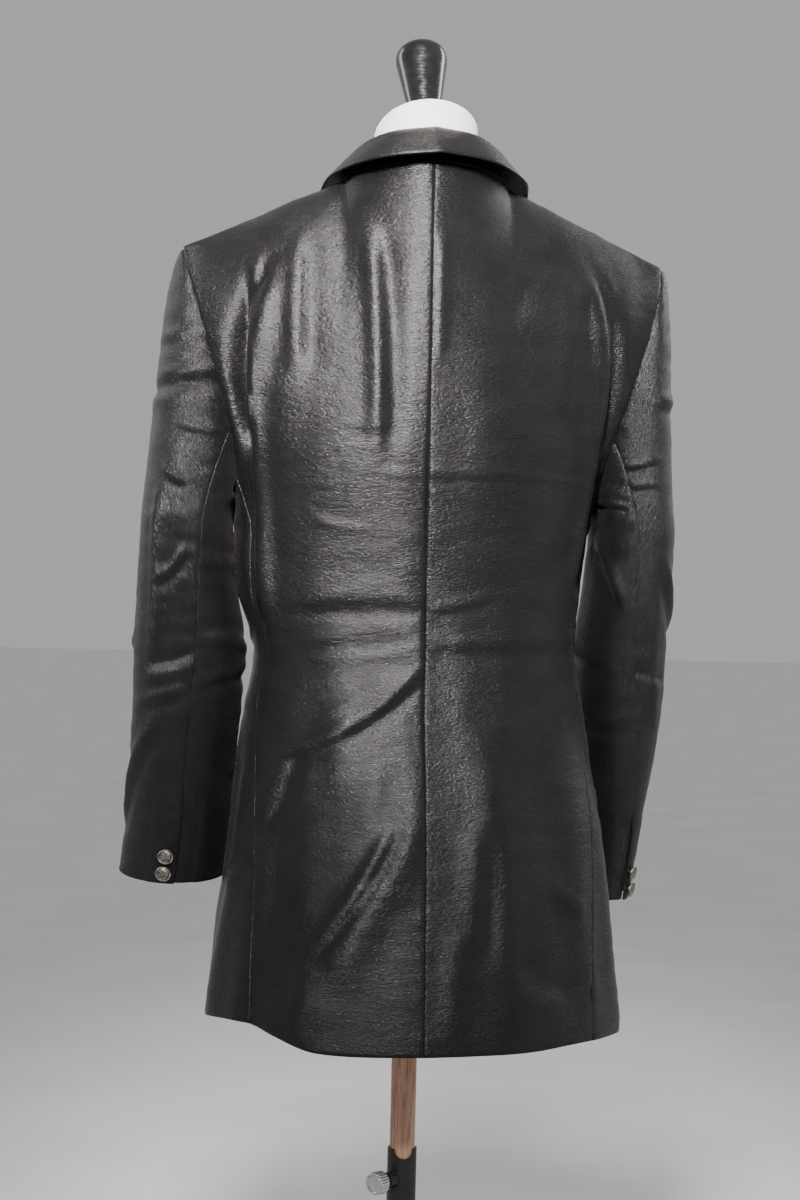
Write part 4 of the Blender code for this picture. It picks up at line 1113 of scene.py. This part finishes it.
TOP_CREASES = {
    "left": (
        (46, 1150, 41, 990, 3, 7, 3.4),
        (34, 932, 80, 835, -4, 7, 3.6),
        (12, 1092, 44, 1062, 4, 4, 2),
        (20, 1150, 50, 1166, 2, 3.5, 2.4),
        (4, 1262, 110, 1250, 4, 5, 2.2),
        (30, 1236, 140, 1232, -3, 6, -2.4),
        (60, 1292, 140, 1284, 3, 5, 1.8),
        (0, 1000, 50, 988, 4, 6, -2.8),
        (6, 968, 60, 952, 3, 5, 2),
        (80, 1010, 150, 1000, 4, 6, 2.4),
        (90, 970, 150, 980, -4, 6, 2.2),
        (10, 1196, 60, 1206, 2, 4, 1.6),
    ),
    "right": (
        (30, 1092, 118, 1000, 8, 8, 4),
        (0, 1176, 40, 1186, 1, 3, 2.2),
        (2, 1158, 30, 1162, -1, 3, 1.8),
        (50, 1240, 180, 1250, 4, 6, 2.2),
        (90, 1215, 150, 1200, 4, 6, -2.2),
        (20, 1050, 24, 930, 4, 9, 2),
        (60, 960, 110, 940, 4, 6, 2),
        (80, 1030, 140, 1010, -3, 6, 2.2),
        (0, 990, 36, 982, 2, 4, -1.8),
    ),
}
UNDER_CREASES = {
    "left": (
        (127, 1012, 50, 1000, 3, 6, 2.6),
        (125, 1083, 40, 1080, -2, 5, 1.8),
        (120, 965, 40, 975, 3, 6, -2.2),
        (118, 1140, 50, 1132, 3, 6, 1.8),
        (30, 900, 80, 890, 3, 7, 1.4),
    ),
    "right": (
        (76, 1110, 114, 1050, -4, 6, 3.4),
        (100, 1148, 124, 1142, 1, 3, 2.2),
        (114, 1176, 126, 1170, 0, 3, 1.8),
        (30, 1010, 100, 998, 3, 6, 2),
        (40, 940, 100, 930, 3, 6, -1.6),
    ),
}
VENT_TOPS = {"left": 0.872, "right": 0.854}
VENT_WIDE, VENT_FADE, VENT_LAP = 0.16, 0.012, 0.0010
HEAD_EASE, EASE_REACH, EASE_WAVES = 0.0013, 0.048, 16.0


def sleeve_raised(side, is_top):
    """The vent's lap, and the eased fullness below the armhole seam."""
    def raised(place, across_share, along, across):
        edge = across_share if is_top else 1.0 - across_share
        vent = smooth((VENT_TOPS[side] - place.z) / VENT_FADE) * smooth((VENT_WIDE - edge) / 0.03)
        wave = wander(across_share * EASE_WAVES, 2.0 if is_top else 5.0, 1.0)
        ease = HEAD_EASE * wave * math.exp(-along / EASE_REACH) * smooth(along / 0.02)
        return (VENT_LAP if is_top else -VENT_LAP) * vent + ease
    return raised


for side in ("left", "right"):
    laid_panel(f"sleeve_top_{side}", sleeve_skin(side, True), (76, 170), SIGN[side],
               seams=(1, 1, 1, 0), creases=TOP_CREASES[side], wear=(1.15, 0.55),
               seed=9.1 if side == "left" else 10.7, raised=sleeve_raised(side, True))
    laid_panel(f"sleeve_under_{side}", sleeve_skin(side, False), (44, 170), SIGN[side],
               seams=(1, 1, 1, 0), creases=UNDER_CREASES[side], wear=(1.1, 0.5),
               seed=11.3 if side == "left" else 12.9, raised=sleeve_raised(side, False))


# The collar: one piece with its stand turned up and its fall rolled over, sewn to the neck edge. Its
# ends meet the lapels at a notch.

# Collar: its neck edge, roll line and fall edge, from the centre back (0) to the front end (1)
COLLAR = chart(
    "along neck_x neck_y neck_z roll_x roll_y roll_z fall_x fall_y fall_z",
    (0.00, 0.000, 0.0795, 1.4438, 0.000, 0.066, 1.4755, 0.000, 0.0980, 1.4480),
    (0.28, 0.037, 0.0702, 1.4417, 0.036, 0.054, 1.4725, 0.052, 0.0840, 1.4430),
    (0.52, 0.0635, 0.0462, 1.4374, 0.058, 0.032, 1.4655, 0.083, 0.0460, 1.4370),
    (0.74, 0.0732, 0.0143, 1.4353, 0.0645, 0.006, 1.4565, 0.0950, 0.0080, 1.4295),
    (1.00, 0.0690, -0.0320, 1.4230, 0.0640, -0.034, 1.4340, 0.1000, -0.0560, 1.3960))

def collar_skin(across, along):
    """Collar skin: across from the left front end (0) to the right (1), along from the neck edge."""
    place = abs(across * 2.0 - 1.0)
    side = "left" if across < 0.5 else "right"
    neck, roll, fall = (
        mirror_x(side, Vector([read(COLLAR, f"{edge}_{axis}", place) for axis in "xyz"]))
        for edge in ("neck", "roll", "fall"))
    pull = roll * 2.0 - (neck + fall) * 0.5
    return neck * (1 - along) ** 2 + pull * (2 * along * (1 - along)) + fall * along ** 2


COLLAR_THICK = 0.0022
COLLAR_WANDER = 0.0006
COLLAR_CREASES = ((100, 1470, 190, 1472, 0, 4, 0.4),)


def collar_ripple(place, across_share, along, across):
    """The collar lies nearly smooth, with a slow wander along its fold."""
    return COLLAR_WANDER * wander(across * 22.0, along * 3.0, 4.0)


laid_panel("collar", collar_skin, (150, 40), -1.0, seams=(0, 0, 0, 0), creases=COLLAR_CREASES,
           wear=(0.25, 0.1), seed=13.7, raised=collar_ripple, thick=COLLAR_THICK)


# The lapels: each front's upper edge folded back on itself along the roll line, pressed flat at the top
# and softly rolled above the first button.

# Off its front: the front's own wall, a gap and the lift of the roll
LAPEL_OFF = 0.0018 + 0.0009 + 0.0010

# Lapels: width as a share of the front and height of their ends
LAPEL = chart(
    "place width top",
    (0.00, 0.02, 0.955),
    (0.35, 0.24, 0.935),
    (0.70, 0.42, 0.910),
    (1.00, 0.54, 0.880))
LAPEL_STARTS = {"left": 0.640, "right": 0.480}
LAPEL_LIFT = 0.004


def lapel_skin(side):
    """Lapel skin on its front: across from the roll line (0) to its edge (1), along upwards."""
    front = front_layer(side)

    def skin(across, along):
        start = LAPEL_STARTS[side]
        high = start + (read(LAPEL, "top", across) - start) * along
        return front(1.0 - read(LAPEL, "width", along) * across, high)
    return skin


def lapel_raised(side):
    """The lapel rides on its front's folds, and rolls up between its ends."""
    folds = fold_raised(side)

    def raised(place, across_share, along, across):
        lift = LAPEL_LIFT * math.sin(math.pi * along) * across_share
        return folds(place, across_share, along, across) + LAPEL_OFF + lift
    return raised


for side in ("left", "right"):
    laid_panel(f"lapel_{side}", lapel_skin(side), (30, 120), SIGN[side], seams=(0, 0, 0, 0),
               wear=(0.2, 0.15), seed=14.9 if side == "left" else 15.7, raised=lapel_raised(side))


# The buttons: cast metal on a shank, finished in dull pewter, with a roped rim round a hammered dome.
# Two fasten each cuff vent and two the front, through holes that are worked in black silk.

def pewter():
    """Antiqued cast pewter: grey metal whose tone wanders at random between rubbed bright and dark."""
    material, tree, shader = start_material("antiqued cast pewter", Metallic=1.0, Roughness=0.42)
    place = mottled(tree, shader, 520.0, "#5d5a54", "#a8a49b", 4.0)
    grain = add(tree, "ShaderNodeTexNoise", {"Vector": place, "Scale": 1400.0, "Detail": 3.0})
    add(tree, "ShaderNodeMapRange", {"Value": grain.outputs["Fac"], "To Min": 0.30, "To Max": 0.55},
        shader["Roughness"])
    add(tree, "ShaderNodeBump", {"Height": grain.outputs["Fac"], "Distance": 0.00006}, shader["Normal"])
    return material


def black_thread():
    """Black buttonhole silk: twisted thread with a low shine along each turn."""
    material, tree, shader = start_material("black buttonhole silk", Roughness=0.55)
    place = mottled(tree, shader, 900.0, "#121112", "#2b292a")
    twist = add(tree, "ShaderNodeTexWave", {"Vector": place, "Scale": 480.0},
                bands_direction="DIAGONAL")
    add(tree, "ShaderNodeBump", {"Height": twist.outputs["Fac"], "Distance": 0.0001}, shader["Normal"])
    return material


PEWTER = pewter()
THREAD = black_thread()
BUTTON_THICK = 0.0040
BUTTON_STEPS = 96
ROPE_TURNS, ROPE_SLANT, ROPE_DEPTH = 26, 260.0, 0.00022
HAMMER_DEPTH, HAMMER_WAVE = 0.00030, 0.0022
HOLE_RINGS, HOLE_WIDE, HOLE_SQUARE = 84, 0.0011, 1.6
THREAD_RADIUS = 0.00042
CUFF_TURN = 103.0
CUFF_HEIGHTS = (0.8190, 0.8030)
CUFF_RADIUS = 0.0074
CUFF_HOLE = (0.0130, 0.0042)
FRONT_HEIGHTS = (1.010, 0.905)
FRONT_RADIUS = 0.0115
FRONT_HOLE = (0.0200, 0.0042)
FRONT_SHARE = 0.905
NORMAL_STEP = 0.004
LOOK_FROM = 0.015
RATE_STEP = 0.01


def button_mesh(radius):
    """A button turned about Z from its sewn foot, then roped round the rim and hammered."""
    thick = BUTTON_THICK
    profile = [(0.0, 0.0), (radius * 0.35, 0.0), (radius * 0.35, thick * 0.35),
               (radius * 0.90, thick * 0.38), (radius * 0.98, thick * 0.48), (radius, thick * 0.58)]
    profile += [(radius * (0.90 + 0.10 * math.cos(angle)), thick * (0.60 + 0.24 * math.sin(angle)))
                for angle in (0.3, 0.7, 1.1, 1.57, 2.1, 2.6)]
    profile += [(radius * 0.78, thick * 0.62)]
    profile += [(radius * share, thick * (0.62 + 0.38 * math.sqrt(1.0 - (share / 0.76) ** 2)))
                for share in (0.74, 0.70, 0.62, 0.52, 0.40, 0.27, 0.14)]
    profile += [(0.0, thick)]
    mesh = spun(profile, BUTTON_STEPS)
    for vert in mesh.verts:
        reach = math.hypot(vert.co.x, vert.co.y)
        if vert.co.z > thick * 0.61:
            if reach > radius * 0.80:
                angle = math.atan2(vert.co.y, vert.co.x)
                vert.co.z += ROPE_DEPTH * math.cos(ROPE_TURNS * angle + ROPE_SLANT * (reach / radius))
            else:
                spot = Vector((vert.co.x, vert.co.y, radius)) / HAMMER_WAVE
                vert.co.z += HAMMER_DEPTH * noise.noise(spot)
    return mesh


def landed(panel, skin, across, along):
    """Where a place of a skin lies on the outside of its finished panel, and the way out there."""
    run = skin(across + NORMAL_STEP, along) - skin(across - NORMAL_STEP, along)
    rise = skin(across, along + NORMAL_STEP) - skin(across, along - NORMAL_STEP)
    out = run.cross(rise).normalized()
    place = skin(across, along)
    centre = Vector((0.0, 0.0, place.z))
    if "sleeve" in panel:
        centre = sleeve_point("left" if "left" in panel else "right", across * 360.0 + 180.0, along)
    out = out if out.dot(place - centre) > 0 else -out
    shown = bpy.data.objects[panel].evaluated_get(bpy.context.evaluated_depsgraph_get())
    found, where, _, _ = shown.ray_cast(place + out * LOOK_FROM, -out, distance=2 * LOOK_FROM)
    return (where if found else place + out * CLOTH), out


def sewn_button(name, radius, place, out):
    """A button on the cloth, in its node's place."""
    mesh = button_mesh(radius)
    bmesh.ops.transform(mesh, verts=list(mesh.verts), matrix=facing(place, out))
    put(f"{name}_cast", mesh, PEWTER, name)


def worked_hole(name, panel, skin, middle, rates, size):
    """A buttonhole worked in thread: a closed cord along a slit's two edges, on the panel.

    rates say how many metres one unit of across and of along are there; size is the slit's length
    and how far its middle lies from the button's.
    """
    length, shift = size
    straight = length - 2 * HOLE_WIDE
    places = []
    for step in range(HOLE_RINGS):
        turn = 2 * math.pi * step / HOLE_RINGS
        lean = math.cos(turn)
        run = (shift + lean * HOLE_WIDE
               + math.copysign(straight / 2, lean) * min(1.0, abs(lean) * HOLE_SQUARE))
        side_step = math.sin(turn) * HOLE_WIDE
        place, out = landed(panel, skin, middle[0] + run / rates[0], middle[1] + side_step / rates[1])
        places.append(place + out * THREAD_RADIUS * 0.5)
    mesh = bmesh.new()
    rings = []
    for step, place in enumerate(places):
        ahead = (places[(step + 1) % HOLE_RINGS] - places[step - 1]).normalized()
        radius = THREAD_RADIUS * (1.0 + 0.22 * math.cos(step * math.pi))
        ring = bmesh.ops.create_circle(mesh, segments=6, radius=radius, matrix=facing(place, ahead))
        rings.append(list({edge for vert in ring["verts"] for edge in vert.link_edges}))
    for step in range(HOLE_RINGS):
        bmesh.ops.bridge_loops(mesh, edges=rings[step - 1] + rings[step])
    bmesh.ops.recalc_face_normals(mesh, faces=list(mesh.faces))
    put(name, mesh, THREAD)


def fastened(name, panel, skin, across, along, radius, hole, step=RATE_STEP):
    """A button on a panel and its buttonhole, at a place of the panel's skin."""
    place, out = landed(panel, skin, across, along)
    sewn_button(name, radius, place, out)
    wide = (skin(across + step, along) - skin(across, along)).length / step
    tall = (skin(across, along + RATE_STEP) - skin(across, along)).length / RATE_STEP
    worked_hole(name.replace("button", "hole"), panel, skin, (across, along), (wide, tall), hole)


for side in ("left", "right"):
    top, bottom = SLEEVES[side]["rows"][0][0], SLEEVES[side]["rows"][-1][0]
    drop = bottom - SLEEVES["left"]["rows"][-1][0]
    for number, height in enumerate(CUFF_HEIGHTS, 1):
        along = SLEEVE_SPLIT + (1.0 - SLEEVE_SPLIT) * ((top - height - drop) / (top - bottom))
        fastened(f"cuff_button_{side}_{number}", f"sleeve_top_{side}_cloth",
                 lambda a, b, side=side: sleeve_point(side, a * 360.0, b), CUFF_TURN / 360.0, along,
                 CUFF_RADIUS, CUFF_HOLE)
for number, height in enumerate(FRONT_HEIGHTS, 1):
    hem = read(HEM, "right", 150.0)
    fastened(f"front_button_{number}", "front_right_cloth", front_layer("right"), FRONT_SHARE,
             LOWER_SHARE * (height - hem) / (JOIN_HEIGHT - hem), FRONT_RADIUS, FRONT_HOLE, -RATE_STEP)


# The room: a pale plain floor and even pale surroundings, a gridded softbox high behind the camera, a
# fill on the right and a strip at each side behind the shoulders, as in a small studio.

def pale_floor():
    """Matt pale studio vinyl with a barely visible mottle."""
    material, tree, shader = start_material("pale matt vinyl floor", Roughness=0.85)
    mottled(tree, shader, 3.0, "#eceae7", "#f3f1ee")
    return material


def softbox(name, place, target, size, power, code="#ffffff", spread=180.0):
    """An area light of a size (wide, tall) that faces a target. A grid on it narrows its spread."""
    light = bpy.data.lights.new(name, "AREA")
    light.shape = "RECTANGLE"
    light.size, light.size_y = size
    light.energy = power
    light.spread = math.radians(spread)
    light.color = linear(code)[:3]
    lamp = bpy.data.objects.new(name, light)
    lamp.location = place
    lamp.rotation_euler = (Vector(target) - Vector(place)).to_track_quat("-Z", "Y").to_euler()
    bpy.context.scene.collection.objects.link(lamp)


FLOOR_HALF = 40.0
floor_mesh = bmesh.new()
bmesh.ops.create_grid(floor_mesh, x_segments=2, y_segments=2, size=FLOOR_HALF)
floor_data = bpy.data.meshes.new("floor")
floor_mesh.to_mesh(floor_data)
floor_mesh.free()
floor_data.materials.append(pale_floor())
floor = bpy.data.objects.new("floor", floor_data)
bpy.context.scene.collection.objects.link(floor)

CHEST = (0.0, 0.05, 1.20)
BLADES = (0.05, 0.10, 1.36)
softbox("high softbox", (0.45, 2.10, 2.62), BLADES, (0.24, 0.6), 9.0, "#fffcf8", spread=27.0)
softbox("wide fill", (-2.4, 1.2, 2.0), CHEST, (0.8, 1.2), 9.0, "#f2f5ff")
softbox("left strip", (1.5, -1.0, 2.1), CHEST, (0.4, 1.2), 8.0)
softbox("right strip", (-1.6, -0.8, 2.1), CHEST, (0.4, 1.2), 12.0)

surroundings = bpy.data.worlds.new("pale surroundings")
surroundings.use_nodes = True
backing = surroundings.node_tree.nodes["Background"]
backing.inputs["Color"].default_value = linear("#e6e6e8")
backing.inputs["Strength"].default_value = 0.55
bpy.context.scene.world = surroundings


# The camera: level at chest height, 2.1 m behind the garment and 8 degrees to the wearer's left, rolled
# a little as in the photograph.

VIEW_TURN = math.radians(172.0)
VIEW_FAR = 2.08
VIEW_SIDE = 0.014
VIEW_HEIGHT = 1.05
VIEW_ROLL = math.radians(1.35)
VIEW_LENS = 66.99
FILM_HEIGHT = 36.0
towards = Vector((math.sin(VIEW_TURN), -math.cos(VIEW_TURN), 0.0))
right = Vector((math.cos(VIEW_TURN), math.sin(VIEW_TURN), 0.0))
up = Vector((0.0, 0.0, 1.0))
across_view = right * math.cos(VIEW_ROLL) + up * math.sin(VIEW_ROLL)
up_view = up * math.cos(VIEW_ROLL) - right * math.sin(VIEW_ROLL)
lens = bpy.data.cameras.new("camera")
lens.sensor_fit = "VERTICAL"
lens.sensor_height = FILM_HEIGHT
lens.lens = VIEW_LENS
camera = bpy.data.objects.new("camera", lens)
view = Matrix((across_view, up_view, towards)).transposed().to_4x4()
view.translation = towards * VIEW_FAR - right * VIEW_SIDE + up * VIEW_HEIGHT
camera.matrix_world = view
bpy.context.scene.collection.objects.link(camera)
bpy.context.scene.camera = camera
